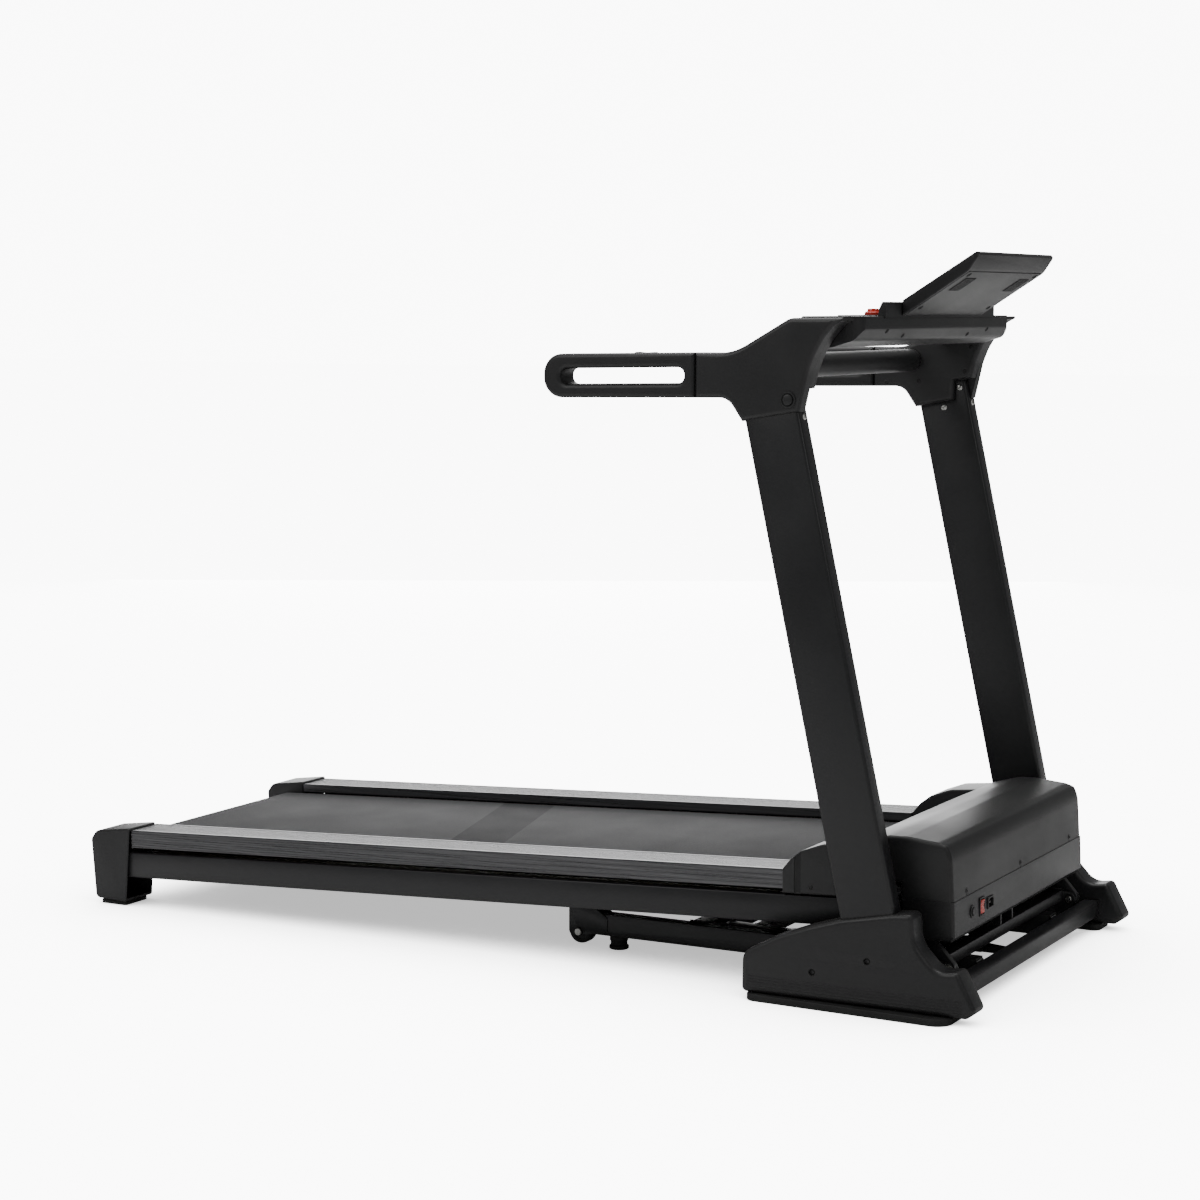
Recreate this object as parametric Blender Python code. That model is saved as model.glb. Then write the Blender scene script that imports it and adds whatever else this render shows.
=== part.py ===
"""Folding motor treadmill with a powered incline, built as separate parts.

Metres, +Z up, +X towards the motor end, +Y to the walker's left.  The origin is under the middle of
the whole machine, on the floor.  Three empties carry the slanted frames: the deck (origin at the top
front edge of the rear caps), the uprights and the display.
"""
import math

import bmesh
import bpy
from mathutils import Matrix, Vector

# Overall layout
FOOT_X = 0.7118          # the uprights' rear edge meets the floor here
GAP = 0.0003             # clearance between parts that touch
ARC_STEPS = 4            # segments in a rounded corner

# Deck
DECK_ANGLE = math.radians(2.55)
DECK_X, DECK_Z = -1.5384, 0.1525
RAIL_OUT, RAIL_IN = 0.3340, 0.2537
RAIL_TOP, RAIL_FOOT, RAIL_LENGTH = -0.0035, -0.037, 1.3687
BEAM_IN, BEAM_TOP, BEAM_FOOT = 0.2960, -0.0472, -0.0957
CAP_OUT, CAP_IN, CAP_WALL = 0.3395, 0.2545, 0.0028
BELT_HALF, BELT_THICK, ROLLER_R = 0.2500, 0.0022, 0.0225
ROLLER_W = -0.0478
REAR_ROLLER_U, FRONT_ROLLER_U = -0.035, 1.4925

# Uprights and base
UPRIGHT_ANGLE = math.radians(12.43)
TUBE_DEEP, TUBE_IN, TUBE_OUT, TUBE_WALL = 0.0977, 0.3732, 0.4099, 0.0020
ARM_IN, ARM_SPLIT, ARM_OUT = 0.3592, 0.3868, 0.4144
HANDLE_JOIN, HANDLE_END = -0.3027, -0.5894
HOOD_HALF, HOOD_WALL = 0.3304, 0.0030
FLOOR_GAP = 0.0125

# Joints
FOLD_X, FOLD_Z = 0.1230, 0.0672
LIFT_X, LIFT_Z = -0.3550, 0.0500
REST_X = -1.5830         # the deck pads' line on the floor, about which the deck inclines
JACK_X, JACK_Z, JACK_TOP = 0.0620, 0.0330, 0.1900
STRUT_Y = -0.0600
STRUT_FOOT = Vector((-0.3000, STRUT_Y, 0.0840))
STRUT_HEAD = Vector((-0.0200, STRUT_Y, 0.1000))
DISPLAY_X, DISPLAY_Z, DISPLAY_SLOPE = -0.0266, 1.1636, math.atan2(0.0814, 0.1306)

for old in list(bpy.data.objects):
    bpy.data.objects.remove(old, do_unlink=True)
PARTS = bpy.data.collections.new("treadmill")
CUTTERS = bpy.data.collections.new("cutters")
for collection in (PARTS, CUTTERS):
    bpy.context.scene.collection.children.link(collection)


# ---------------------------------------------------------------- materials
def finish(name, colour, roughness, metallic=0.0):
    material = bpy.data.materials.new(name)
    material.use_nodes = True
    shader = material.node_tree.nodes["Principled BSDF"]
    shader.inputs["Base Color"].default_value = (*colour, 1.0)
    shader.inputs["Roughness"].default_value = roughness
    shader.inputs["Metallic"].default_value = metallic
    return material


POWDER = finish("black_powder_coat", (0.022, 0.022, 0.024), 0.45, 0.3)
PLASTIC = finish("black_moulding", (0.028, 0.028, 0.029), 0.42)
RAIL = finish("dark_anodised_rail", (0.075, 0.075, 0.078), 0.38, 0.8)
RUBBER = finish("black_rubber", (0.015, 0.015, 0.015), 0.8)
BELT = finish("belt_cover", (0.090, 0.090, 0.090), 0.85)
STEEL = finish("zinc_steel", (0.60, 0.60, 0.58), 0.3, 1.0)
GLASS = finish("screen_glass", (0.010, 0.010, 0.012), 0.08)
BOARD = finish("board_laminate", (0.18, 0.13, 0.09), 0.6)
RED = finish("red_key", (0.70, 0.04, 0.02), 0.35)


# ---------------------------------------------------------------- frames
def empty(name, parent=None, place=(0.0, 0.0, 0.0), turn_y=0.0):
    frame = bpy.data.objects.new(name, None)
    frame.parent = parent
    frame.location = place
    frame.rotation_euler = (0.0, turn_y, 0.0)
    CUTTERS.objects.link(frame)
    return frame


MACHINE = empty("machine_frame", None, (FOOT_X, 0.0, 0.0))
FOLD = empty("fold_frame", MACHINE, (FOLD_X, 0.0, FOLD_Z))
DECK = empty("deck_frame", FOLD, (DECK_X - FOLD_X, 0.0, DECK_Z - FOLD_Z), -DECK_ANGLE)
LEVEL = empty("deck_level_frame", FOLD, (-FOLD_X, 0.0, -FOLD_Z))
LIFT = empty("lift_arm_axis", MACHINE, (LIFT_X, 0.0, LIFT_Z))
CRADLE = empty("cradle_axis", MACHINE, (REST_X, 0.0, 0.0))
UPRIGHT = empty("upright_frame", MACHINE, (0.0, 0.0, 0.0), -UPRIGHT_ANGLE)
DISPLAY = empty("display_frame", MACHINE, (DISPLAY_X, 0.0, DISPLAY_Z), -DISPLAY_SLOPE)
JACK = empty("jack_axis", MACHINE, (JACK_X, 0.0, JACK_Z))
STRUT_LINE = STRUT_HEAD - STRUT_FOOT
STRUT = empty("strut_axis", MACHINE, STRUT_FOOT, -math.atan2(STRUT_LINE.z, STRUT_LINE.x))


# ---------------------------------------------------------------- shapes
def add(name, mesh, material, parent, place=(0.0, 0.0, 0.0), cutter=False):
    """Link a mesh as a part, or as a hidden cutter where cutter is set."""
    part = bpy.data.objects.new(name, mesh)
    part.parent = parent
    part.location = place
    if cutter:
        CUTTERS.objects.link(part)
        part.hide_render = True
        part.display_type = "WIRE"
    else:
        mesh.materials.clear()
        mesh.materials.append(material)
        PARTS.objects.link(part)
        mesh.shade_smooth()
        mesh.set_sharp_from_angle(angle=math.radians(30))
    return part


def rounded(corners, steps=ARC_STEPS):
    """Points of a closed outline; a corner (a, b, r) is rounded with radius r."""
    points = []
    for index, corner in enumerate(corners):
        here = Vector(corner[:2])
        if len(corner) < 3:
            points.append(tuple(here))
            continue
        before = (Vector(corners[index - 1][:2]) - here).normalized()
        after = (Vector(corners[(index + 1) % len(corners)][:2]) - here).normalized()
        half = before.angle(after) / 2.0
        centre = here + (before + after).normalized() * (corner[2] / math.sin(half))
        start = here + before * (corner[2] / math.tan(half)) - centre
        turn = start.angle_signed(here + after * (corner[2] / math.tan(half)) - centre)
        for step in range(steps + 1):
            spoke = start.copy()
            spoke.rotate(Matrix.Rotation(-turn * step / steps, 2))
            points.append(tuple(centre + spoke))
    return points


def circle(a, b, radius, steps=16):
    turn = 2.0 * math.pi / steps
    return [(a + radius * math.cos(turn * i), b + radius * math.sin(turn * i)) for i in range(steps)]


def box_outline(a0, a1, b0, b1, radius=0.0):
    corners = [(a0, b0), (a1, b0), (a1, b1), (a0, b1)]
    return rounded([(*corner, radius) for corner in corners], 2) if radius else corners


def slab_mesh(name, loops, low, high, plane):
    """A flat outline with optional holes, given thickness from low to high across its plane."""
    curve = bpy.data.curves.new(name, "CURVE")
    curve.dimensions = "2D"
    curve.fill_mode = "BOTH"
    curve.extrude = (high - low) / 2.0
    for loop in loops:
        spline = curve.splines.new("POLY")
        spline.points.add(len(loop) - 1)
        for point, (a, b) in zip(spline.points, loop):
            point.co = (a, b, 0.0, 1.0)
        spline.use_cyclic_u = True
    holder = bpy.data.objects.new(name, curve)
    CUTTERS.objects.link(holder)
    evaluated = holder.evaluated_get(bpy.context.evaluated_depsgraph_get())
    mesh = bpy.data.meshes.new_from_object(evaluated)
    bpy.data.objects.remove(holder, do_unlink=True)
    bpy.data.curves.remove(curve)
    middle = (low + high) / 2.0
    turns = {
        "XY": Matrix(((1, 0, 0, 0), (0, 1, 0, 0), (0, 0, 1, middle), (0, 0, 0, 1))),
        "XZ": Matrix(((1, 0, 0, 0), (0, 0, -1, middle), (0, 1, 0, 0), (0, 0, 0, 1))),
        "YZ": Matrix(((0, 0, 1, middle), (1, 0, 0, 0), (0, 1, 0, 0), (0, 0, 0, 1))),
    }
    work = bmesh.new()
    work.from_mesh(mesh)
    bmesh.ops.transform(work, matrix=turns[plane], verts=work.verts)
    bmesh.ops.remove_doubles(work, verts=work.verts, dist=0.00002)
    bmesh.ops.recalc_face_normals(work, faces=work.faces)
    work.to_mesh(mesh)
    work.free()
    return mesh


def slab(name, loops, low, high, plane, material=None, parent=None, cutter=False):
    return add(name, slab_mesh(name, loops, low, high, plane), material, parent, cutter=cutter)


def box_mesh(name, low, high):
    mesh = bpy.data.meshes.new(name)
    work = bmesh.new()
    bmesh.ops.create_cube(work, size=1.0)
    size = Vector(high) - Vector(low)
    centre = (Vector(high) + Vector(low)) / 2.0
    bmesh.ops.transform(work, matrix=Matrix.Translation(centre) @ Matrix.Diagonal((*size, 1.0)),
                        verts=work.verts)
    work.to_mesh(mesh)
    work.free()
    return mesh


def box(name, low, high, material=None, parent=None, cutter=False):
    return add(name, box_mesh(name, low, high), material, parent, cutter=cutter)


def rod_mesh(name, radius, length, axis, steps=16):
    """A round bar centred on the origin along axis X, Y or Z."""
    mesh = bpy.data.meshes.new(name)
    work = bmesh.new()
    bmesh.ops.create_cone(work, cap_ends=True, segments=steps, radius1=radius, radius2=radius, depth=length)
    turns = {"X": ("Y", 90), "Y": ("X", 90), "Z": ("Z", 0)}
    about, degrees = turns[axis]
    bmesh.ops.rotate(work, cent=(0, 0, 0), matrix=Matrix.Rotation(math.radians(degrees), 3, about),
                     verts=work.verts)
    work.to_mesh(mesh)
    work.free()
    return mesh


def rod(name, radius, start, end, axis, material=None, parent=None, cutter=False, steps=16):
    """A round bar whose own origin is the middle of its axis."""
    start, end = Vector(start), Vector(end)
    mesh = rod_mesh(name, radius, (end - start).length, axis, steps)
    return add(name, mesh, material, parent, (start + end) / 2.0, cutter)


def combine(part, tool, operation):
    """Join or cut a part with a hidden tool object."""
    change = part.modifiers.new(operation.lower(), "BOOLEAN")
    change.operation = operation
    change.object = tool
    change.solver = "EXACT"
    return part


def cut(part, *tools):
    for tool in tools:
        combine(part, tool, "DIFFERENCE")
    return part


def join(part, *tools):
    for tool in tools:
        combine(part, tool, "UNION")
    return part


def sides():
    """The two sides of the machine: name and the sign of Y."""
    return (("right", -1.0), ("left", 1.0))


def span(sign, near, far):
    """Y limits from near to far the middle plane, on the side of sign."""
    return tuple(sorted((sign * near, sign * far)))


# ---------------------------------------------------------------- base frame
TUBE_FRONT, TUBE_BACK = 0.1607, 0.1307
JACK_EAR_HALF = 0.010
front_tube = slab("front_cross_tube", [box_outline(TUBE_BACK, TUBE_FRONT, 0.0262, 0.0562, 0.003)],
                  -0.3655, 0.3655, "XZ", POWDER, MACHINE)
jack_ear = slab("jack_ear", [rounded([(0.050, 0.0265, 0.006), (0.140, 0.0265), (0.140, 0.0345),
                                      (0.074, 0.0395, 0.004), (0.070, 0.0440, 0.005), (0.050, 0.0440,
                                                                                       0.006)]),
                             circle(JACK_X, JACK_Z, 0.0045)],
                -JACK_EAR_HALF, JACK_EAR_HALF, "XZ", None, MACHINE, cutter=True)
join(front_tube, jack_ear)

MEMBER_LOW, MEMBER_HIGH, MEMBER_IN, MEMBER_OUT, MEMBER_REAR = 0.0240, 0.0620, 0.1760, 0.2060, -0.6080
WHEEL_X, WHEEL_Z, WHEEL_R = -0.6280, 0.0265, 0.0230
FORK_SIDE = rounded([(-0.6480, 0.0160, 0.010), (-0.5700, 0.0300, 0.004), (-0.5700, 0.0560, 0.004),
                     (-0.6030, 0.0780, 0.008), (-0.6480, 0.0780, 0.010)])
MEMBER_WALL, PLATE_THICK, WELD_IN = 0.0020, 0.0030, 0.0005
subframe = slab("base_subframe", [box_outline(-0.420, -0.382, MEMBER_LOW, MEMBER_HIGH, 0.003)],
                -(MEMBER_IN + 0.0015), MEMBER_IN + 0.0015, "XZ", POWDER, MACHINE)
for side, sign in sides():
    member = slab(f"member_{side}", [box_outline(*span(sign, MEMBER_IN, MEMBER_OUT), MEMBER_LOW,
                                                 MEMBER_HIGH),
                                     box_outline(*span(sign, MEMBER_IN + MEMBER_WALL,
                                                       MEMBER_OUT - MEMBER_WALL),
                                                 MEMBER_LOW + MEMBER_WALL, MEMBER_HIGH - MEMBER_WALL)],
                  MEMBER_REAR + 0.012, TUBE_BACK - GAP, "YZ", None, MACHINE, cutter=True)
    join(subframe, member)
    for index, (low, high) in enumerate(((MEMBER_OUT - WELD_IN, MEMBER_OUT + PLATE_THICK),
                                         (MEMBER_IN - PLATE_THICK, MEMBER_IN + WELD_IN))):
        join(subframe, slab(f"fork_plate_{side}_{index}", [FORK_SIDE, circle(WHEEL_X, WHEEL_Z, 0.0044)],
                            *span(sign, low, high), "XZ", None, MACHINE, cutter=True))
    wheel = rod(f"transport_wheel_{side}", WHEEL_R, (WHEEL_X, sign * 0.1775, WHEEL_Z),
                (WHEEL_X, sign * 0.2045, WHEEL_Z), "Y", RUBBER, MACHINE, steps=24)
    axle = rod(f"wheel_axle_{side}", 0.004, (WHEEL_X, sign * 0.1690, WHEEL_Z), (WHEEL_X, sign * 0.2130,
                                                                                WHEEL_Z),
               "Y", None, MACHINE, cutter=True)
    join(wheel, axle)
    rod(f"base_rubber_foot_{side}", 0.0180, (-0.555, sign * 0.191, 0.0), (-0.555, sign * 0.191,
                                                                          MEMBER_LOW - GAP),
        "Z", RUBBER, MACHINE)

LIFT_ARM_IN, LIFT_ARM_OUT = 0.1350, 0.1600
for side, sign in sides():
    for index, (low, high) in enumerate(((LIFT_ARM_IN - 0.007, LIFT_ARM_IN - 0.001),
                                         (LIFT_ARM_OUT + 0.001, LIFT_ARM_OUT + 0.007))):
        ear = slab(f"lift_ear_{side}_{index}", [rounded([(-0.400, 0.036, 0.003), (-0.344, 0.036, 0.012),
                                                         (-0.344, 0.064, 0.012), (-0.400, 0.060, 0.003)])],
                   *span(sign, low, high), "XZ", None, MACHINE, cutter=True)
        join(subframe, ear)
    pin = rod(f"lift_pin_{side}", 0.0060, (LIFT_X, sign * (LIFT_ARM_IN - 0.006), LIFT_Z),
              (LIFT_X, sign * (LIFT_ARM_OUT + 0.006), LIFT_Z), "Y", None, MACHINE, cutter=True)
    join(subframe, pin)

# ---------------------------------------------------------------- uprights with their foot bars
UPRIGHT_LOW, UPRIGHT_HIGH = 0.0400, 1.0850
for side, sign in sides():
    y0, y1 = span(sign, TUBE_IN, TUBE_OUT)
    upright = slab(f"upright_{side}",
                   [box_outline(0.0, TUBE_DEEP, y0, y1, 0.004),
                    box_outline(TUBE_WALL, TUBE_DEEP - TUBE_WALL, y0 + TUBE_WALL, y1 - TUBE_WALL)],
                   UPRIGHT_LOW, UPRIGHT_HIGH, "XY", POWDER, UPRIGHT)
    foot_bar = box(f"foot_bar_{side}", (-0.165, span(sign, 0.3780, 0.4050)[0], FLOOR_GAP + GAP),
                   (0.128, span(sign, 0.3780, 0.4050)[1], 0.0520), None, MACHINE, cutter=True)
    join(upright, foot_bar)

# ---------------------------------------------------------------- foot covers and soles
COVER_IN, COVER_OUT = 0.3660, 0.4163
COVER_SIDE = rounded([(-0.2085, FLOOR_GAP, 0.010), (0.1894, FLOOR_GAP, 0.004), (0.2075, 0.0254, 0.003),
                      (0.1745, 0.0880, 0.004), (0.1380, 0.0830, 0.035), (0.0995, 0.1250, 0.05),
                      (0.0960, 0.1745, 0.006), (0.0600, 0.1715), (-0.0313, 0.1534), (-0.0900, 0.1345),
                      (-0.1450, 0.1130), (-0.2070, 0.0800, 0.022)])
SOLE_TOP = rounded([(-0.200, 0.3740, 0.010), (0.165, 0.3520, 0.012), (0.165, 0.4366, 0.030),
                    (-0.200, 0.4240, 0.020)])
for side, sign in sides():
    cover = slab(f"foot_cover_{side}", [COVER_SIDE], *span(sign, COVER_IN, COVER_OUT), "XZ", PLASTIC,
                 MACHINE)
    y0, y1 = span(sign, TUBE_IN - 2 * GAP, TUBE_OUT + 2 * GAP)
    tube_space = box(f"tube_space_{side}", (-2 * GAP, y0, 0.020), (TUBE_DEEP + 2 * GAP, y1, 0.300),
                     None, UPRIGHT, cutter=True)
    y0, y1 = span(sign, 0.3775, 0.4130)
    bar_space = slab(f"bar_space_{side}", [rounded([(-0.190, -0.01), (0.170, -0.01), (0.150, 0.060), (0.085,
                                                                                                      0.110),
                                                    (-0.080, 0.120), (-0.190, 0.070)])],
                     y0, y1, "XZ", None, MACHINE, cutter=True)
    cut(cover, tube_space, bar_space)
    slab(f"sole_{side}", [[(x, sign * y) for x, y in SOLE_TOP]], 0.0, FLOOR_GAP - GAP, "XY", RUBBER, MACHINE)

# ---------------------------------------------------------------- arms and handles
ARM_TOP = [(-0.0300, 1.1355, 0.006), (-0.1330, 1.1345, 0.030), (-0.2344, 1.0768, 0.100), (HANDLE_JOIN,
                                                                                          1.0766)]
ARM_REAR = [(HANDLE_JOIN, 1.0020), (-0.2440, 1.0030, 0.030), (-0.2178, 0.9650, 0.004)]
ARM_RIM = [(-0.1059, 1.0216), (-0.0996, 1.0495), (-0.0897, 1.0742), (-0.0734, 1.1020), (-0.0536, 1.1235)]
OUTER_SIDE = rounded(ARM_TOP + ARM_REAR + [(-0.1150, 0.9822, 0.003)] + ARM_RIM)
INNER_SIDE = rounded(ARM_TOP + ARM_REAR + [(-0.1427, 0.9789, 0.003), (-0.1421, 1.0148, 0.003),
                                           (-0.1070, 1.0200, 0.003)] + ARM_RIM[1:])
HANDLE_SIDE = rounded([(HANDLE_JOIN - GAP, 1.0766), (HANDLE_END, 1.0715, 0.034), (HANDLE_END, 0.9972, 0.034),
                       (HANDLE_JOIN - GAP, 1.0020)])
HANDLE_SLOT = rounded([(-0.5560, 1.0205, 0.0125), (-0.3240, 1.0255, 0.0125), (-0.3240, 1.0520, 0.0125),
                       (-0.5560, 1.0470, 0.0125)], 3)
ROCKER_X, ROCKER_HALF, ROCKER_TOP = -0.4050, 0.0180, 1.0772
for side, sign in sides():
    handle = slab(f"handle_{side}", [HANDLE_SIDE, HANDLE_SLOT], *span(sign, ARM_IN, ARM_OUT), "XZ", PLASTIC,
                  MACHINE)
    y0, y1 = span(sign, 0.3780, 0.3956)
    rocker_space = box(f"rocker_space_{side}", (ROCKER_X - ROCKER_HALF - 0.0008, y0 - 0.0006, 1.0650),
                       (ROCKER_X + ROCKER_HALF + 0.0008, y1 + 0.0006, 1.0900), None, MACHINE, cutter=True)
    cut(handle, rocker_space)
    rocker = slab_mesh(f"handle_rocker_{side}",
                       [rounded([(-ROCKER_HALF, 0.0024), (0.0, -0.0030), (ROCKER_HALF, 0.0024),
                                                          (ROCKER_HALF, 0.0065, 0.0020), (0.0, 0.0052),
                                                          (-ROCKER_HALF, 0.0065, 0.0020)], 2)], y0, y1, "XZ")
    add(f"handle_rocker_{side}", rocker, RUBBER, MACHINE, (ROCKER_X, 0.0, 1.0700))

    outer = slab(f"arm_outer_{side}", [OUTER_SIDE], *span(sign, ARM_SPLIT, ARM_OUT), "XZ", PLASTIC, MACHINE)
    inner = slab(f"arm_inner_{side}", [INNER_SIDE], *span(sign, ARM_IN, ARM_SPLIT - GAP), "XZ", PLASTIC,
                 MACHINE)
    y0, y1 = span(sign, TUBE_IN - 2 * GAP, TUBE_OUT + 2 * GAP)
    top_space = box(f"top_space_{side}", (-2 * GAP, y0, 0.900), (TUBE_DEEP + 2 * GAP, y1,
                                                                 UPRIGHT_HIGH + 0.002),
                    None, UPRIGHT, cutter=True)
    cut(outer, top_space)
    cut(inner, top_space)

GRAB_X, GRAB_Z, GRAB_R = -0.2270, 1.0520, 0.0213
rod("grab_bar", GRAB_R, (GRAB_X, -(ARM_IN - GAP), GRAB_Z), (GRAB_X, ARM_IN - GAP, GRAB_Z), "Y", PLASTIC,
    MACHINE,
    steps=24)

# ---------------------------------------------------------------- console
SEAM_Z = 1.1340
LOWER_SIDE = rounded([(-0.0300, SEAM_Z - GAP), (-0.1375, SEAM_Z - GAP), (-0.1800, 1.1070),
                      (-0.1800, 1.1000, 0.004), (-0.1700, 1.0860, 0.008), (-0.0820, 1.0860, 0.020),
                      (-0.0440, 1.0975, 0.020),
                      (-0.0300, 1.1164, 0.010)])
lower = slab("console_lower_shell", [LOWER_SIDE], -(ARM_IN - GAP), ARM_IN - GAP, "XZ", PLASTIC, MACHINE)
cut(lower, slab("console_hollow", [[(-0.035, 1.150), (-0.131, 1.150), (-0.131, 1.1325), (-0.175, 1.105),
                                    (-0.175, 1.102), (-0.168, 1.0905),
                                    (-0.082, 1.090), (-0.048, 1.101), (-0.035, 1.119)]],
                -0.3540, 0.3540, "XZ", None, MACHINE, cutter=True))
upper = slab("console_upper_shell", [rounded([(-0.0300, SEAM_Z), (-0.0300, 1.1372, 0.001), (-0.1330, 1.1372,
                                                                                            0.001),
                                              (-0.1370, SEAM_Z)])],
             -(ARM_IN - GAP), ARM_IN - GAP, "XZ", PLASTIC, MACHINE)
ridge = slab("console_ridge", [rounded([(-0.0270, 1.1365), (-0.0270, 1.1600, 0.002), (-0.0340, 1.1613,
                                                                                      0.003),
                                        (-0.0395, 1.1500, 0.008), (-0.0420, 1.1365)])],
             -0.2600, 0.2600, "XZ", None, MACHINE, cutter=True)
join(upper, ridge)
STOP_X, STOP_Y, SAFETY_X, SAFETY_Y = -0.1080, 0.0500, -0.1090, -0.1150
STOP_HALF, STOP_ROOM = (0.0130, 0.0240), 0.0006
cut(upper, box("stop_space", (STOP_X - STOP_HALF[0] - STOP_ROOM, STOP_Y - STOP_HALF[1] - STOP_ROOM, 1.12),
               (STOP_X + STOP_HALF[0] + STOP_ROOM, STOP_Y + STOP_HALF[1] + STOP_ROOM, 1.15), None, MACHINE,
               cutter=True))
box("stop_key", (STOP_X - STOP_HALF[0], STOP_Y - STOP_HALF[1], 1.1330),
    (STOP_X + STOP_HALF[0], STOP_Y + STOP_HALF[1], 1.1396), RED, MACHINE)
rod("safety_key", 0.0150, (SAFETY_X, SAFETY_Y, 1.1375), (SAFETY_X, SAFETY_Y, 1.1495), "Z", RED, MACHINE,
    steps=20)

DISPLAY_HALF = 0.1903
DISPLAY_SIDE = rounded([(-0.0262, 1.1378), (-0.0262, 1.1638, 0.002), (0.1030, 1.2445, 0.004), (0.1085,
                                                                                               1.2400, 0.004),
                        (0.0894, 1.2117, 0.020)])
slab("display_housing", [DISPLAY_SIDE], -DISPLAY_HALF, DISPLAY_HALF, "XZ", PLASTIC, MACHINE)
slab("display_glass", [box_outline(0.0120, 0.1420, -0.1780, 0.1780, 0.006)], 0.0004, 0.0020, "XY", GLASS,
     DISPLAY)

# ---------------------------------------------------------------- lift arms
def from_axis(axis, corners, steps=ARC_STEPS):
    """Corners given in the machine frame, moved to a moving body's own axis."""
    return rounded([(c[0] - axis[0], c[1] - axis[1], *c[2:]) for c in corners], steps)


LIFT_AXIS, CRADLE_AXIS = (LIFT_X, LIFT_Z), (REST_X, 0.0)
LINK_X, LINK_Z, LINK_R, LINK_TRAVEL = 0.0660, 0.0715, 0.0040, 0.0072
ARM_FRONT = LINK_X + LINK_TRAVEL + 0.0085
SLOT_HIGH, SLOT_FORE, SLOT_RISE = LINK_R + 0.0004, LINK_TRAVEL + LINK_R + 0.0004, 0.0004
arms = slab("lift_arms", [from_axis(LIFT_AXIS, [(-0.312, 0.040), (-0.288, 0.040), (-0.288, 0.060),
                                                (-0.312, 0.060)])],
            -LIFT_ARM_IN - 0.002, LIFT_ARM_IN + 0.002, "XZ", POWDER, LIFT)
for side, sign in sides():
    arm_side = from_axis(LIFT_AXIS, [(LIFT_X - 0.0120, 0.0380, 0.011), (-0.250, 0.0380, 0.030),
                                     (ARM_FRONT, 0.0620, 0.008), (ARM_FRONT, 0.0815, 0.008),
                                     (-0.250, 0.0600, 0.030), (LIFT_X - 0.0120, 0.0620, 0.011)])
    slot = from_axis(LIFT_AXIS, [(LINK_X - SLOT_HIGH, LINK_Z - SLOT_HIGH, 0.004),
                                 (LINK_X + SLOT_FORE, LINK_Z - SLOT_HIGH + SLOT_RISE, 0.004),
                                 (LINK_X + SLOT_FORE, LINK_Z + SLOT_HIGH + SLOT_RISE, 0.004),
                                 (LINK_X - SLOT_HIGH, LINK_Z + SLOT_HIGH, 0.004)])
    join(arms, slab(f"lift_arm_{side}", [arm_side, circle(0.0, 0.0, 0.0066), slot],
                    *span(sign, LIFT_ARM_IN, LIFT_ARM_OUT), "XZ", None, LIFT, cutter=True))
for index, (low, high) in enumerate(((STRUT_Y - 0.019, STRUT_Y - 0.015), (STRUT_Y + 0.015,
                                                                          STRUT_Y + 0.019))):
    strut_ear = slab(f"strut_ear_{index}", [from_axis(LIFT_AXIS, [(-0.310, 0.050), (-0.290, 0.050),
                                                                  (-0.291, 0.0930, 0.007), (-0.309, 0.0930,
                                                                                            0.007)]),
                                            circle(STRUT_FOOT.x - LIFT_X, STRUT_FOOT.z - LIFT_Z, 0.0046)],
                     low, high, "XZ", None, LIFT, cutter=True)
    join(arms, strut_ear)

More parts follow.
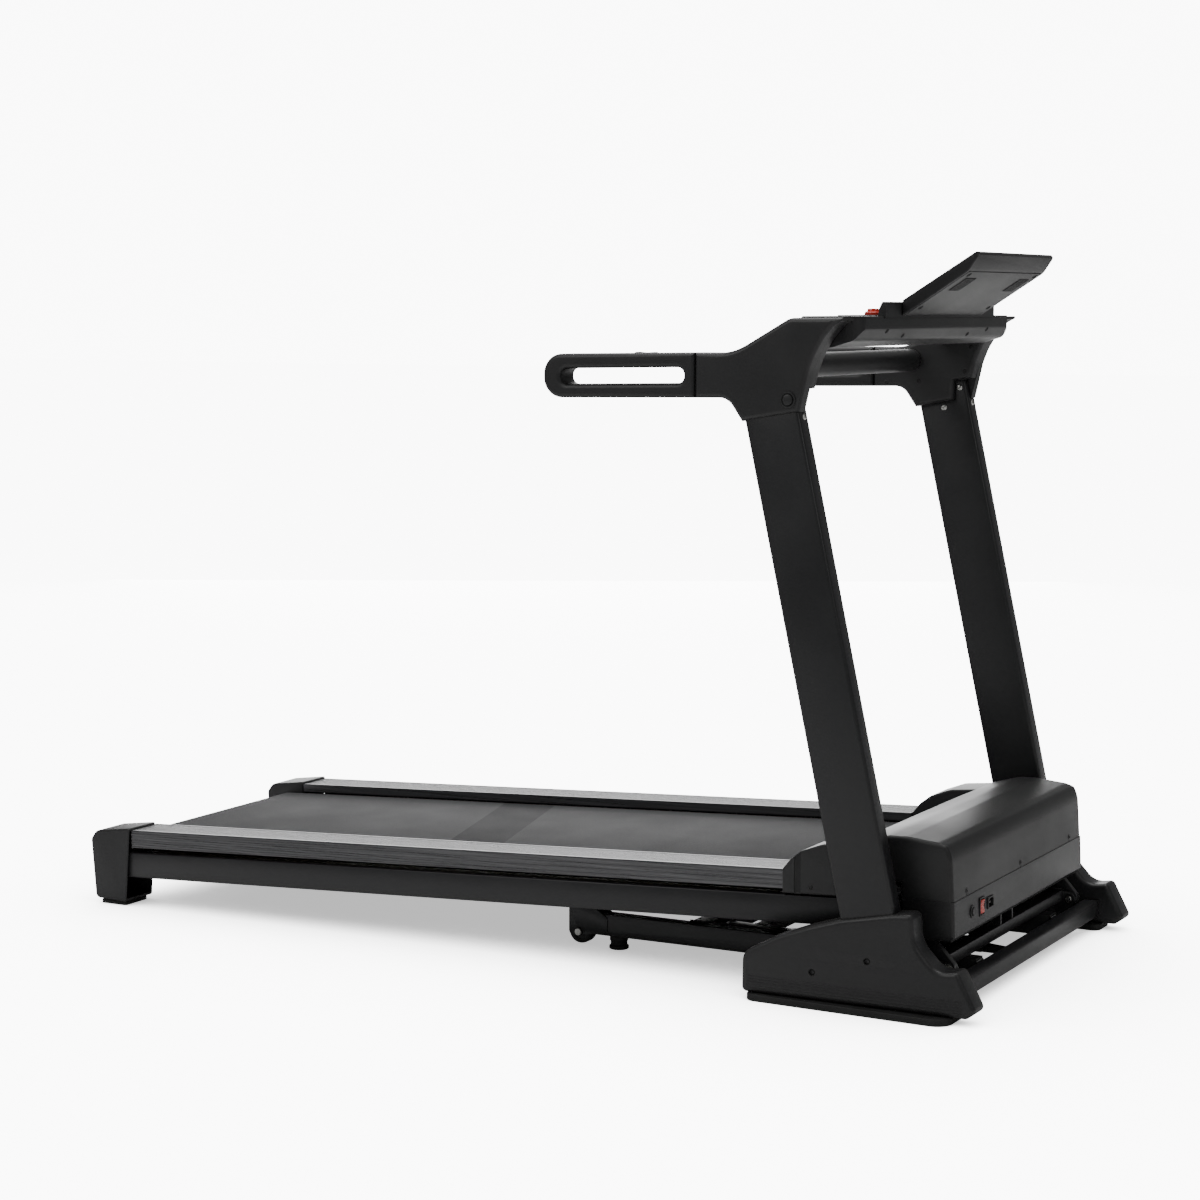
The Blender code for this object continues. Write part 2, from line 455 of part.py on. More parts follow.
# ---------------------------------------------------------------- incline cradle and pivot bolts
CRADLE_BACK, CRADLE_FRONT, CRADLE_LOW, CRADLE_HIGH = 0.0880, 0.1120, 0.0640, 0.0840
HINGE_EAR = from_axis(CRADLE_AXIS, [(0.0900, 0.0660), (0.1000, 0.0400), (0.1280, 0.0400), (0.1295, 0.0580),
                                    (0.1355, 0.0665, 0.006), (0.1290, 0.0795, 0.008), (0.0900, 0.0830)])
cradle = slab("incline_cradle", [from_axis(CRADLE_AXIS, [(CRADLE_BACK, CRADLE_LOW),
                                                         (CRADLE_FRONT, CRADLE_LOW),
                                                         (CRADLE_FRONT, CRADLE_HIGH), (CRADLE_BACK,
                                                                                       CRADLE_HIGH)])],
              -0.3075, 0.3075, "XZ", POWDER, CRADLE)
for side, sign in sides():
    ears = [slab(f"hinge_ear_{side}_{index}", [HINGE_EAR, circle(FOLD_X - REST_X, FOLD_Z, 0.0066)],
                 *span(sign, low, high), "XZ", None, CRADLE, cutter=True)
            for index, (low, high) in enumerate(((0.3010, 0.3070), (0.3225, 0.3260)))]
    web = slab(f"hinge_web_{side}", [from_axis(CRADLE_AXIS, [(0.096, 0.0402), (0.1265, 0.0402),
                                                             (0.1265, 0.0490),
                                                             (0.096, 0.0490)])],
               *span(sign, 0.3050, 0.3240), "XZ", None, CRADLE, cutter=True)
    tower = slab(f"jack_tower_{side}", [from_axis(CRADLE_AXIS, [(0.092, 0.0680), (0.110, 0.0680),
                                                                (0.110, 0.1000, 0.020),
                                                                (0.078, 0.2000, 0.010), (0.046, 0.2000,
                                                                                         0.010),
                                                                (0.046, 0.1750, 0.010), (0.092, 0.1100,
                                                                                         0.020)])],
                 *span(sign, 0.0260, 0.0320), "XZ", None, CRADLE, cutter=True)
    links = [slab(f"link_lug_{side}_{index}",
                  [from_axis(CRADLE_AXIS, [(0.0560, 0.0640, 0.006), (0.0900, 0.0640),
                                                                       (0.0900, 0.0835), (0.0560, 0.0790,
                                                                                          0.006)])],
                  *span(sign, low, high), "XZ", None, CRADLE, cutter=True)
             for index, (low, high) in enumerate(((LIFT_ARM_IN - 0.0050, LIFT_ARM_IN - 0.0010),
                                                  (LIFT_ARM_OUT + 0.0010, LIFT_ARM_OUT + 0.0050)))]
    link_pin = rod(f"link_pin_{side}", LINK_R, (LINK_X - REST_X, sign * (LIFT_ARM_IN - 0.0020), LINK_Z),
                   (LINK_X - REST_X, sign * (LIFT_ARM_OUT + 0.0020), LINK_Z), "Y", None, CRADLE, cutter=True)
    join(cradle, *ears, web, tower, *links, link_pin)

for side, sign in sides():
    bolt = rod(f"fold_pivot_bolt_{side}", 0.0060, (0.0, sign * 0.2970, 0.0), (0.0, sign * 0.3270, 0.0), "Y",
               STEEL, FOLD)
    head = rod(f"pivot_head_{side}", 0.0100, (0.0, sign * 0.3264, 0.0), (0.0, sign * 0.3330, 0.0), "Y", None,
               FOLD,
               cutter=True, steps=6)
    join(bolt, head)

# ---------------------------------------------------------------- incline jack
jack = rod("lift_motor", 0.0210, (0.0, 0.0, 0.0200), (0.0, 0.0, 0.1170), "Z", POWDER, JACK)
gear = box("gear_motor", (-0.0820, -0.0220, 0.0260), (-0.0100, 0.0220, 0.0760), None, JACK, cutter=True)
clevis = [slab(f"jack_clevis_{i}", [rounded([(-0.010, -0.0060, 0.004), (0.010, -0.0060, 0.004), (0.010,
                                                                                                 0.0260),
                                             (-0.010, 0.0260)])], low, high, "XZ", None, JACK, cutter=True)
          for i, (low, high) in enumerate(((-0.0160, -0.0108), (0.0108, 0.0160)))]
jack_pin = rod("jack_pin", 0.0040, (0.0, -0.0150, 0.0), (0.0, 0.0150, 0.0), "Y", None, JACK, cutter=True)
bore = rod("jack_bore", 0.0078, (0.0, 0.0, 0.0230), (0.0, 0.0, 0.1300), "Z", None, JACK, cutter=True)
join(jack, gear, *clevis, jack_pin)
cut(jack, bore)
screw = rod("lift_screw", 0.0070, (0.0, 0.0, 0.0260), (0.0, 0.0, 0.1500), "Z", STEEL, JACK)
screw_eye = rod("screw_eye", 0.0110, (0.0, -0.0080, JACK_TOP - JACK_Z), (0.0, 0.0080, JACK_TOP - JACK_Z),
                "Y", None,
                JACK, cutter=True)
join(screw, screw_eye)

# ---------------------------------------------------------------- fold strut
STRUT_LENGTH = STRUT_LINE.length
cylinder = rod("fold_strut_cylinder", 0.0120, (0.0090, 0.0, 0.0), (0.1770, 0.0, 0.0), "X", POWDER, STRUT)
strut_bore = rod("strut_bore", 0.0062, (0.0350, 0.0, 0.0), (0.1900, 0.0, 0.0), "X", None, STRUT, cutter=True)
strut_pin = rod("strut_pin", 0.0040, (0.0, -0.0200, 0.0), (0.0, 0.0200, 0.0), "Y", None, STRUT, cutter=True)
strut_foot = box("strut_foot", (-0.0060, -0.0120, -0.0060), (0.0120, 0.0120, 0.0060), None, STRUT,
                 cutter=True)
join(cylinder, strut_foot, strut_pin)
cut(cylinder, strut_bore)
strut_rod = rod("fold_strut_rod", 0.0050, (0.0450, 0.0, 0.0), (STRUT_LENGTH, 0.0, 0.0), "X", STEEL, STRUT)
strut_eye = rod("strut_eye", 0.0090, (STRUT_LENGTH, -0.0060, 0.0), (STRUT_LENGTH, 0.0060, 0.0), "Y", None,
                STRUT,
                cutter=True)
join(strut_rod, strut_eye)

# ---------------------------------------------------------------- deck
BEAM_FRONT_U = 1.5770
for side, sign in sides():
    y0, y1 = span(sign, BEAM_IN, RAIL_OUT)
    beam = slab(f"deck_beam_{side}", [box_outline(y0, y1, BEAM_FOOT, BEAM_TOP, 0.003),
                                      box_outline(y0 + 0.002, y1 - 0.002, BEAM_FOOT + 0.002,
                                                  BEAM_TOP - 0.002)],
                -0.0560, BEAM_FRONT_U, "YZ", POWDER, DECK)
    lug = slab(f"hinge_lug_{side}", [rounded([(-0.060, 0.1300), (0.030, 0.1300), (0.030, 0.1420),
                                              (0.075, 0.1420, 0.010), (0.1345, 0.0760, 0.010),
                                              (0.1340, 0.0560, 0.009),
                                              (0.1100, 0.0560, 0.008), (0.030, 0.1230, 0.010), (-0.060,
                                                                                                0.1230)]),
                                     circle(FOLD_X, FOLD_Z, 0.0066)],
               *span(sign, 0.3085, 0.3215), "XZ", None, LEVEL, cutter=True)
    join(beam, lug)
    rail_section = [(RAIL_OUT, RAIL_TOP), (RAIL_OUT, RAIL_FOOT), (RAIL_OUT - 0.004, RAIL_FOOT),
                    (RAIL_OUT - 0.004, RAIL_TOP - 0.004), (RAIL_IN + 0.003, RAIL_TOP - 0.004),
                    (RAIL_IN + 0.003, RAIL_TOP - 0.016), (RAIL_IN, RAIL_TOP - 0.016), (RAIL_IN, RAIL_TOP)]
    slab(f"side_rail_{side}", [[(sign * y, w) for y, w in rail_section]], 2 * GAP, RAIL_LENGTH - GAP, "YZ",
         RAIL, DECK)

cross = slab("deck_cross_tube", [box_outline(1.4380, 1.4680, BEAM_FOOT, BEAM_FOOT + 0.0190, 0.002)],
             -(BEAM_IN - GAP), BEAM_IN - GAP, "XZ", POWDER, DECK)
for index, (low, high) in enumerate(((STRUT_Y - 0.0125, STRUT_Y - 0.0085), (STRUT_Y + 0.0085,
                                                                            STRUT_Y + 0.0125))):
    head_ear = slab(f"strut_head_ear_{index}",
                    [rounded([(-0.094, 0.1280), (-0.075, 0.1280), (-0.006, 0.1100, 0.009),
                                                         (-0.010, 0.0900, 0.009), (-0.030, 0.0900, 0.009),
                                                         (-0.094, 0.1240)])],
                    low, high, "XZ", None, LEVEL, cutter=True)
    join(cross, head_ear)

BOARD_TOP = ROLLER_W + ROLLER_R + 0.0005 - GAP
slab("running_board", [box_outline(0.0000, 1.4480, BOARD_TOP - 0.0180, BOARD_TOP, 0.002)], -0.2700, 0.2700,
     "XZ",
     BOARD, DECK)


def loop_round(first, first_r, second, second_r, steps=10):
    """An outline that runs tangent round two circles, for a belt round its rollers; first_r is the larger."""
    first, second = Vector(first), Vector(second)
    line = second - first
    heading = math.atan2(line.y, line.x)
    spread = math.acos((first_r - second_r) / line.length)
    points = []
    for centre, radius, start, sweep in ((first, first_r, heading + spread, 2.0 * (math.pi - spread)),
                                         (second, second_r, heading - spread, 2.0 * spread)):
        for step in range(steps + 1):
            angle = start + sweep * step / steps
            points.append((centre.x + radius * math.cos(angle), centre.y + radius * math.sin(angle)))
    return points


BELT_IN_R = ROLLER_R + 0.0005
ROLLER_CENTRES = ((REAR_ROLLER_U, ROLLER_W), (FRONT_ROLLER_U, ROLLER_W))
slab("running_belt", [loop_round(ROLLER_CENTRES[0], radius, ROLLER_CENTRES[1], radius)
                      for radius in (BELT_IN_R + BELT_THICK, BELT_IN_R)],
     -BELT_HALF, BELT_HALF, "XZ", BELT, DECK)

rear_roller = rod("rear_roller", ROLLER_R, (REAR_ROLLER_U, -0.2525, ROLLER_W), (REAR_ROLLER_U, 0.2525,
                                                                                ROLLER_W), "Y",
                  STEEL, DECK, steps=20)
join(rear_roller, rod("rear_shaft", 0.0070, (REAR_ROLLER_U, -0.2955, ROLLER_W), (REAR_ROLLER_U, 0.2955,
                                                                                 ROLLER_W),
                      "Y", None, DECK, cutter=True, steps=12))
front_roller = rod("front_roller", ROLLER_R, (FRONT_ROLLER_U, -0.2525, ROLLER_W), (FRONT_ROLLER_U, 0.2525,
                                                                                   ROLLER_W),
                   "Y", STEEL, DECK, steps=20)
PULLEY_LOW, PULLEY_HIGH, BIG_PULLEY_R = -0.2860, -0.2640, 0.0260
join(front_roller, rod("front_shaft", 0.0070, (FRONT_ROLLER_U, -0.2955, ROLLER_W), (FRONT_ROLLER_U, 0.2955,
                                                                                    ROLLER_W),
                       "Y", None, DECK, cutter=True, steps=12),
     rod("big_pulley", BIG_PULLEY_R, (FRONT_ROLLER_U, PULLEY_LOW, ROLLER_W), (FRONT_ROLLER_U, PULLEY_HIGH,
                                                                              ROLLER_W), "Y",
         None, DECK, cutter=True, steps=24))

CAP_SIDE = rounded([(0.0000, 0.0005, 0.002), (-0.0800, -0.0064, 0.014), (-0.0934, -0.0224, 0.012),
                    (-0.0885, -0.1381, 0.010), (-0.0164, -0.1438, 0.004)])
CAP_HOLLOW = [(0.0500, -0.0030), (-0.0780, -0.0100), (-0.0890, -0.0240), (-0.0850, -0.1345), (0.0500,
                                                                                              -0.1400)]
for side, sign in sides():
    cap = slab(f"rear_cap_{side}", [CAP_SIDE], *span(sign, CAP_IN, CAP_OUT), "XZ", PLASTIC, DECK)
    cut(cap, slab(f"cap_hollow_{side}", [CAP_HOLLOW], *span(sign, CAP_IN + CAP_WALL, CAP_OUT - CAP_WALL),
                  "XZ", None,
                  DECK, cutter=True),
        rod(f"cap_shaft_space_{side}", 0.0090, (REAR_ROLLER_U, sign * 0.2500, ROLLER_W),
            (REAR_ROLLER_U, sign * 0.2600, ROLLER_W), "Y", None, DECK, cutter=True))
    y0, y1 = span(sign, 0.2640, 0.3330)
    box(f"deck_foot_{side}", (-1.6130, y0, 0.0), (-1.5530, y1, 0.0078), RUBBER, LEVEL)

RAMP = [(-0.1687, 0.2112), (-0.1542, 0.2292), (-0.1342, 0.2450), (-0.0945, 0.2600), (-0.0420, 0.2650)]
for side, sign in sides():
    front_cap = slab(f"front_cap_{side}", [rounded(RAMP + [(-0.0420, 0.2020), (0.0350, 0.2036), (0.0350,
                                                                                                 0.1775),
                                                            (-0.1687, 0.1695)])],
                     *span(sign, RAIL_IN, CAP_OUT), "XZ", PLASTIC, LEVEL)
    cut(front_cap, slab(f"front_cap_hollow_{side}",
                        [[(-0.1640, 0.2080), (-0.1500, 0.2265), (-0.1320, 0.2415),
                                                       (-0.0935, 0.2565), (-0.0450, 0.2615), (-0.0450,
                                                                                              0.1990),
                                                       (0.0600, 0.2006), (0.0600, 0.1000), (-0.1640,
                                                                                            0.1000)]],
                        *span(sign, RAIL_IN - 0.01, CAP_OUT - CAP_WALL), "XZ", None, LEVEL, cutter=True),
        box(f"board_space_{side}", (1.3000, span(sign, 0.2000, 0.2710)[0], BOARD_TOP - 0.0300),
            (1.4600, span(sign, 0.2000, 0.2710)[1], BOARD_TOP + GAP), None, DECK, cutter=True),
        box(f"belt_space_{side}", (-0.0500, span(sign, 0.2610, 0.2890)[0], 0.1900),
            (0.0300, span(sign, 0.2610, 0.2890)[1], 0.2300), None, LEVEL, cutter=True))

HOOD_SIDE = rounded([(0.1347, 0.1822), (0.0400, 0.1822), (0.0400, 0.2045), (-0.1450, 0.2000), (-0.1450,
                                                                                               0.2050),
                     (-0.1150, 0.2270), (-0.0800, 0.2480), (-0.0350, 0.2690), (0.0150, 0.2835), (0.0500,
                                                                                                 0.2845),
                     (0.1060, 0.2790), (0.1215, 0.2740, 0.010), (0.1290, 0.2560)])
HOOD_HOLLOW = [(0.1315, 0.1700), (0.0500, 0.1700), (0.0100, 0.1700), (-0.1330, 0.1700), (-0.1330, 0.2105),
               (-0.1130, 0.2245), (-0.0790, 0.2450), (-0.0340, 0.2660), (0.0155, 0.2800), (0.0500, 0.2810),
               (0.1040, 0.2758), (0.1170, 0.2715), (0.1255, 0.2550)]
hood = slab("motor_hood", [HOOD_SIDE], -HOOD_HALF, HOOD_HALF, "XZ", PLASTIC, LEVEL)
cut(hood, slab("hood_hollow", [HOOD_HOLLOW], -(RAIL_IN - 0.0040), RAIL_IN - 0.0040, "XZ", None, LEVEL,
               cutter=True))
for side, sign in sides():
    y0, y1 = span(sign, RAIL_IN - 2 * GAP, 0.4000)
    cut(hood, box(f"hood_notch_{side}", (-0.2000, y0, 0.1000), (-0.0417, y1, 0.3000), None, LEVEL,
                  cutter=True))
    cut(hood, slab(f"hood_side_hollow_{side}", [[(0.1315, 0.1700), (-0.0385, 0.1700), (-0.0385, 0.2635),
                                                 (0.0155, 0.2800), (0.0500, 0.2810), (0.1040, 0.2758),
                                                 (0.1170, 0.2715), (0.1255, 0.2550)]],
                   *span(sign, RAIL_IN - 0.0060, HOOD_HALF - HOOD_WALL), "XZ", None, LEVEL, cutter=True))
SWITCH_Y, INLET_Y, BREAKER_Y, PANEL_Z = -0.1998, -0.1600, -0.2450, 0.1520
APRON_SIDE = [(0.0420, 0.1819), (0.1347, 0.1819), (0.1370, 0.1230), (0.1300, 0.1150), (0.0420, 0.1150)]
apron = slab("motor_apron", [APRON_SIDE], -HOOD_HALF, HOOD_HALF, "XZ", PLASTIC, LEVEL)
cut(apron, box("apron_hollow", (-0.10, -(HOOD_HALF - HOOD_WALL), 0.05), (0.1300, HOOD_HALF - HOOD_WALL,
                                                                         0.25), None,
               LEVEL, cutter=True),
    box("switch_space", (0.10, SWITCH_Y - 0.0095, PANEL_Z - 0.0135), (0.16, SWITCH_Y + 0.0095,
                                                                      PANEL_Z + 0.0135), None,
        LEVEL, cutter=True),
    box("inlet_space", (0.10, INLET_Y - 0.0143, PANEL_Z - 0.0103), (0.16, INLET_Y + 0.0143,
                                                                    PANEL_Z + 0.0103), None,
        LEVEL, cutter=True),
    rod("breaker_space", 0.0078, (0.10, BREAKER_Y, PANEL_Z), (0.16, BREAKER_Y, PANEL_Z), "X", None, LEVEL,
        cutter=True))
add("power_switch", slab_mesh("power_switch",
                              [rounded([(-0.0130, -0.0070), (-0.0130, 0.0070), (0.0060, 0.0120, 0.001),
                                                        (0.0040, 0.0), (0.0060, -0.0120, 0.001)], 2)],
                              -0.0085, 0.0085, "XZ"), RED, LEVEL, (0.1330, SWITCH_Y, PANEL_Z))
inlet = box("power_inlet", (0.1120, INLET_Y - 0.0140, PANEL_Z - 0.0100), (0.1375, INLET_Y + 0.0140,
                                                                          PANEL_Z + 0.0100),
            PLASTIC, LEVEL)
cut(inlet, box("inlet_mouth", (0.1180, INLET_Y - 0.0115, PANEL_Z - 0.0075), (0.15, INLET_Y + 0.0115,
                                                                             PANEL_Z + 0.0075),
               None, LEVEL, cutter=True))
rod("breaker_button", 0.0072, (0.1180, BREAKER_Y, PANEL_Z), (0.1400, BREAKER_Y, PANEL_Z), "X", PLASTIC,
    LEVEL)

# ---------------------------------------------------------------- drive inside the hood
MOTOR_X, MOTOR_Z, MOTOR_PULLEY_R = 0.0720, 0.1950, 0.0170
motor = rod("drive_motor", 0.0430, (MOTOR_X, -0.2500, MOTOR_Z), (MOTOR_X, -0.0800, MOTOR_Z), "Y", POWDER,
            LEVEL,
            steps=20)
pulley = rod("motor_pulley", MOTOR_PULLEY_R, (MOTOR_X, PULLEY_LOW, MOTOR_Z), (MOTOR_X, PULLEY_HIGH, MOTOR_Z),
             "Y",
             STEEL, LEVEL, steps=20)
join(pulley, rod("motor_shaft", 0.0060, (MOTOR_X, -0.2610, MOTOR_Z), (MOTOR_X, PULLEY_HIGH - 0.002, MOTOR_Z),
                 "Y",
                 None, LEVEL, cutter=True, steps=12))
ROLLER_X = DECK_X + FRONT_ROLLER_U * math.cos(DECK_ANGLE) - ROLLER_W * math.sin(DECK_ANGLE)
ROLLER_Z = DECK_Z + FRONT_ROLLER_U * math.sin(DECK_ANGLE) + ROLLER_W * math.cos(DECK_ANGLE)
slab("drive_belt", [loop_round((ROLLER_X, ROLLER_Z), BIG_PULLEY_R + lift_off, (MOTOR_X, MOTOR_Z),
                               MOTOR_PULLEY_R + lift_off, 14) for lift_off in (0.0030, 0.0008)],
     PULLEY_LOW + 0.003, PULLEY_HIGH - 0.003, "XZ", RUBBER, LEVEL)
box("motor_controller", (0.0100, 0.0800, 0.1560), (0.1150, 0.2500, 0.2200), PLASTIC, LEVEL)
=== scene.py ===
"""Folding motor treadmill: looks for every piece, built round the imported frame.

Metres, +Z up, +X towards the motor, +Y to the walker's left.  Sections follow the machine from the
floor up: base and uprights, lifting frame, deck, drive, then the handles, console and display.
"""
import math

import bmesh
import bpy
from mathutils import Matrix, Vector


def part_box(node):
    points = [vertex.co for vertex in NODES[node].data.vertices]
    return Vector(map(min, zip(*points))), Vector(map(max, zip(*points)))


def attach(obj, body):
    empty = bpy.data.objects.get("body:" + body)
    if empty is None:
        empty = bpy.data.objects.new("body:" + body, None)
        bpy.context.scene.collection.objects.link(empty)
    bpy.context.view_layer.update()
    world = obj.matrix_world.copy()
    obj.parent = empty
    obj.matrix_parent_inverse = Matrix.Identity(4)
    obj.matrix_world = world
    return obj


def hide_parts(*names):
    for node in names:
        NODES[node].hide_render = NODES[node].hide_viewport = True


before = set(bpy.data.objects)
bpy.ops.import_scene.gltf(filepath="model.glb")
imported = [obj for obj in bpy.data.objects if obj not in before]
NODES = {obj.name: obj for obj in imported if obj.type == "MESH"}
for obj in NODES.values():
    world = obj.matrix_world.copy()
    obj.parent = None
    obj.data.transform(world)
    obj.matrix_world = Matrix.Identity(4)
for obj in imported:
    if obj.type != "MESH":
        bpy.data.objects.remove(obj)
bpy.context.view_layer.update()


def placed(name, data):
    """A new object, linked to the scene."""
    thing = bpy.data.objects.new(name, data)
    bpy.context.scene.collection.objects.link(thing)
    return thing


# ------------------------------------------------------------ camera, floor and studio light
# A long lens at chest height looks back along the deck from the motor end, on the walker's right.
camera = placed("camera", bpy.data.cameras.new("camera"))
camera.data.lens = 82.85
camera.data.sensor_width = 36.0
heading, drop, roll = math.radians(27.95), math.radians(6.127), math.radians(0.159)
forward = Vector((-math.sin(heading) * math.cos(drop), math.cos(heading) * math.cos(drop), -math.sin(drop)))
level_right = forward.cross(Vector((0.0, 0.0, 1.0))).normalized()
level_up = level_right.cross(forward)
right = level_right * math.cos(roll) + level_up * math.sin(roll)
up = level_up * math.cos(roll) - level_right * math.sin(roll)
camera.matrix_world = (Matrix.Translation((2.4157, -4.5255, 1.1565))
                       @ Matrix((right, up, -forward)).transposed().to_4x4())
bpy.context.scene.camera = camera

world = bpy.data.worlds.new("studio")
world.use_nodes = True
sky = world.node_tree.nodes["Background"]
sky.inputs["Color"].default_value = (1.0, 1.0, 1.0, 1.0)
seen = world.node_tree.nodes.new("ShaderNodeLightPath")
strength = world.node_tree.nodes.new("ShaderNodeMapRange")
strength.inputs["To Min"].default_value = 0.20
strength.inputs["To Max"].default_value = 10.0
world.node_tree.links.new(seen.outputs["Is Camera Ray"], strength.inputs["Value"])
world.node_tree.links.new(strength.outputs["Result"], sky.inputs["Strength"])
bpy.context.scene.world = world

SOFTBOXES = (  # name, place, aimed at, size, watts
    ("key_softbox", (-1.6, -3.2, 3.6), (0.0, 0.0, 0.5), 2.6, 48.0),
    ("front_softbox", (3.4, -1.6, 2.4), (0.6, 0.0, 0.5), 1.2, 8.0),
    ("top_softbox", (0.0, 0.6, 4.2), (0.0, 0.0, 0.3), 3.2, 110.0),
    ("back_softbox", (-2.9, 5.4, 1.5), (0.0, 0.0, 0.4), 4.0, 190.0),
)
for name, place, aim, size, watts in SOFTBOXES:
    lamp = placed(name, bpy.data.lights.new(name, "AREA"))
    lamp.data.size, lamp.data.energy = size, watts
    lamp.visible_camera = False
    lamp.location = place
    lamp.rotation_euler = (Vector(aim) - Vector(place)).to_track_quat("-Z", "Y").to_euler()

floor_mesh = bpy.data.meshes.new("studio_floor")
floor_mesh.from_pydata([(-40, -40, 0), (40, -40, 0), (40, 40, 0), (-40, 40, 0)], [], [(0, 1, 2, 3)])
floor = placed("studio_floor", floor_mesh)
floor_paint = bpy.data.materials.new("studio_floor")
floor_paint.use_nodes = True
floor_shader = floor_paint.node_tree.nodes["Principled BSDF"]
floor_shader.inputs["Base Color"].default_value = (0.90, 0.90, 0.90, 1.0)
floor_shader.inputs["Roughness"].default_value = 0.5
floor_shader.inputs["Specular IOR Level"].default_value = 0.0
floor_shader.inputs["Emission Color"].default_value = (1.0, 1.0, 1.0, 1.0)
# Ambient occlusion dims the floor's camera-seen glow near the machine: a painted contact shadow under and
# round it.
near = floor_paint.node_tree.nodes.new("ShaderNodeAmbientOcclusion")
near.inputs["Distance"].default_value = 0.55
painted_shadow_glow = floor_paint.node_tree.nodes.new("ShaderNodeMapRange")
painted_shadow_glow.inputs["From Min"].default_value = 0.15
painted_shadow_glow.inputs["To Min"].default_value = 0.7
painted_shadow_glow.inputs["To Max"].default_value = 9.5
floor_seen = floor_paint.node_tree.nodes.new("ShaderNodeLightPath")
to_camera = floor_paint.node_tree.nodes.new("ShaderNodeMath")
to_camera.operation = "MULTIPLY"
floor_links = floor_paint.node_tree.links
floor_links.new(near.outputs["AO"], painted_shadow_glow.inputs["Value"])
floor_links.new(painted_shadow_glow.outputs["Result"], to_camera.inputs[0])
floor_links.new(floor_seen.outputs["Is Camera Ray"], to_camera.inputs[1])
floor_links.new(to_camera.outputs[0], floor_shader.inputs["Emission Strength"])
floor_mesh.materials.append(floor_paint)

# ------------------------------------------------------------ uprights
# Each upright is a leaning rectangular steel tube with rounded corners, welded to a short foot bar.
# The steel is black powder coat: satin, with a fine orange peel and slow changes of tone.
FOOT_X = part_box("front_cross_tube")[1].x - 0.1607      # where the uprights' rear edge meets the floor
UPRIGHT_ANGLE = math.radians(12.43)
MACHINE = Matrix.Translation((FOOT_X, 0.0, 0.0))
UPRIGHT = MACHINE @ Matrix.Rotation(-UPRIGHT_ANGLE, 4, "Y")
SIDES = (("right", -1.0), ("left", 1.0))


def rounded(corners, steps=5):
    """Points of a closed outline; a corner (a, b, r) is rounded with radius r."""
    points = []
    for index, corner in enumerate(corners):
        here = Vector(corner[:2])
        if len(corner) < 3:
            points.append(tuple(here))
            continue
        before = (Vector(corners[index - 1][:2]) - here).normalized()
        after = (Vector(corners[(index + 1) % len(corners)][:2]) - here).normalized()
        half = before.angle(after) / 2.0
        centre = here + (before + after).normalized() * (corner[2] / math.sin(half))
        start = here + before * (corner[2] / math.tan(half)) - centre
        turn = start.angle_signed(here + after * (corner[2] / math.tan(half)) - centre)
        for step in range(steps + 1):
            spoke = start.copy()
            spoke.rotate(Matrix.Rotation(-turn * step / steps, 2))
            points.append(tuple(centre + spoke))
    return points


def circle(a, b, radius, steps=32):
    turn = 2.0 * math.pi / steps
    return [(a + radius * math.cos(turn * i), b + radius * math.sin(turn * i)) for i in range(steps)]


def rectangle(a0, a1, b0, b1, radius=0.0, steps=4):
    corners = [(a0, b0), (a1, b0), (a1, b1), (a0, b1)]
    return rounded([(*corner, radius) for corner in corners], steps) if radius else corners


def span(sign, near, far):
    """Y limits from near to far the middle plane, on the side of sign."""
    return tuple(sorted((sign * near, sign * far)))


def discard(thing):
    bpy.data.objects.remove(thing, do_unlink=True)


def plain_mesh(thing):
    """The mesh of an object as its curve or modifiers leave it."""
    return bpy.data.meshes.new_from_object(thing.evaluated_get(bpy.context.evaluated_depsgraph_get()))


def plate(name, loops, low, high, plane, place=MACHINE, edge=0.001, steps=2):
    """A solid of flat outlines, thick from low to high across its plane, with its rims rounded by edge."""
    curve = bpy.data.curves.new(name, "CURVE")
    curve.dimensions = "2D"
    curve.fill_mode = "BOTH"
    curve.bevel_depth = edge
    curve.bevel_resolution = steps
    curve.offset = -edge
    curve.extrude = (high - low) / 2.0 - edge
    for loop in loops:
        spline = curve.splines.new("POLY")
        spline.points.add(len(loop) - 1)
        for point, (a, b) in zip(spline.points, loop):
            point.co = (a, b, 0.0, 1.0)
        spline.use_cyclic_u = True
    drawn = placed(name + "_outline", curve)
    mesh = plain_mesh(drawn)
    discard(drawn)
    bpy.data.curves.remove(curve)
    middle = (low + high) / 2.0
    turns = {
        "XY": Matrix(((1, 0, 0, 0), (0, 1, 0, 0), (0, 0, 1, middle), (0, 0, 0, 1))),
        "XZ": Matrix(((1, 0, 0, 0), (0, 0, -1, middle), (0, 1, 0, 0), (0, 0, 0, 1))),
        "YZ": Matrix(((0, 0, 1, middle), (1, 0, 0, 0), (0, 1, 0, 0), (0, 0, 0, 1))),
    }
    return settle(name, mesh, place @ turns[plane])


def settle(name, mesh, place=MACHINE, smooth=30):
    """Weld a mesh, turn its faces outwards, and make it an object that sits at the origin."""
    work = bmesh.new()
    work.from_mesh(mesh)
    bmesh.ops.transform(work, matrix=place, verts=work.verts)
    bmesh.ops.remove_doubles(work, verts=work.verts, dist=0.00001)
    bmesh.ops.recalc_face_normals(work, faces=work.faces)
    work.to_mesh(mesh)
    work.free()
    mesh.materials.clear()
    mesh.shade_smooth()
    mesh.set_sharp_from_angle(angle=math.radians(smooth))
    return placed(name, mesh)


def baked(piece, *changes, smooth=30):
    """Apply modifiers, given as (type, settings), and leave a plain mesh."""
    for kind, settings in changes:
        change = piece.modifiers.new(kind.lower(), kind)
        for key, value in settings.items():
            setattr(change, key, value)
    mesh = plain_mesh(piece)
    piece.modifiers.clear()
    piece.data = mesh
    mesh.shade_smooth()
    mesh.set_sharp_from_angle(angle=math.radians(smooth))
    return piece


def combined(piece, tool, operation):
    """A piece united with a tool, cut by it or kept inside it."""
    return baked(piece, ("BOOLEAN", {"operation": operation, "object": tool, "solver": "EXACT"}))


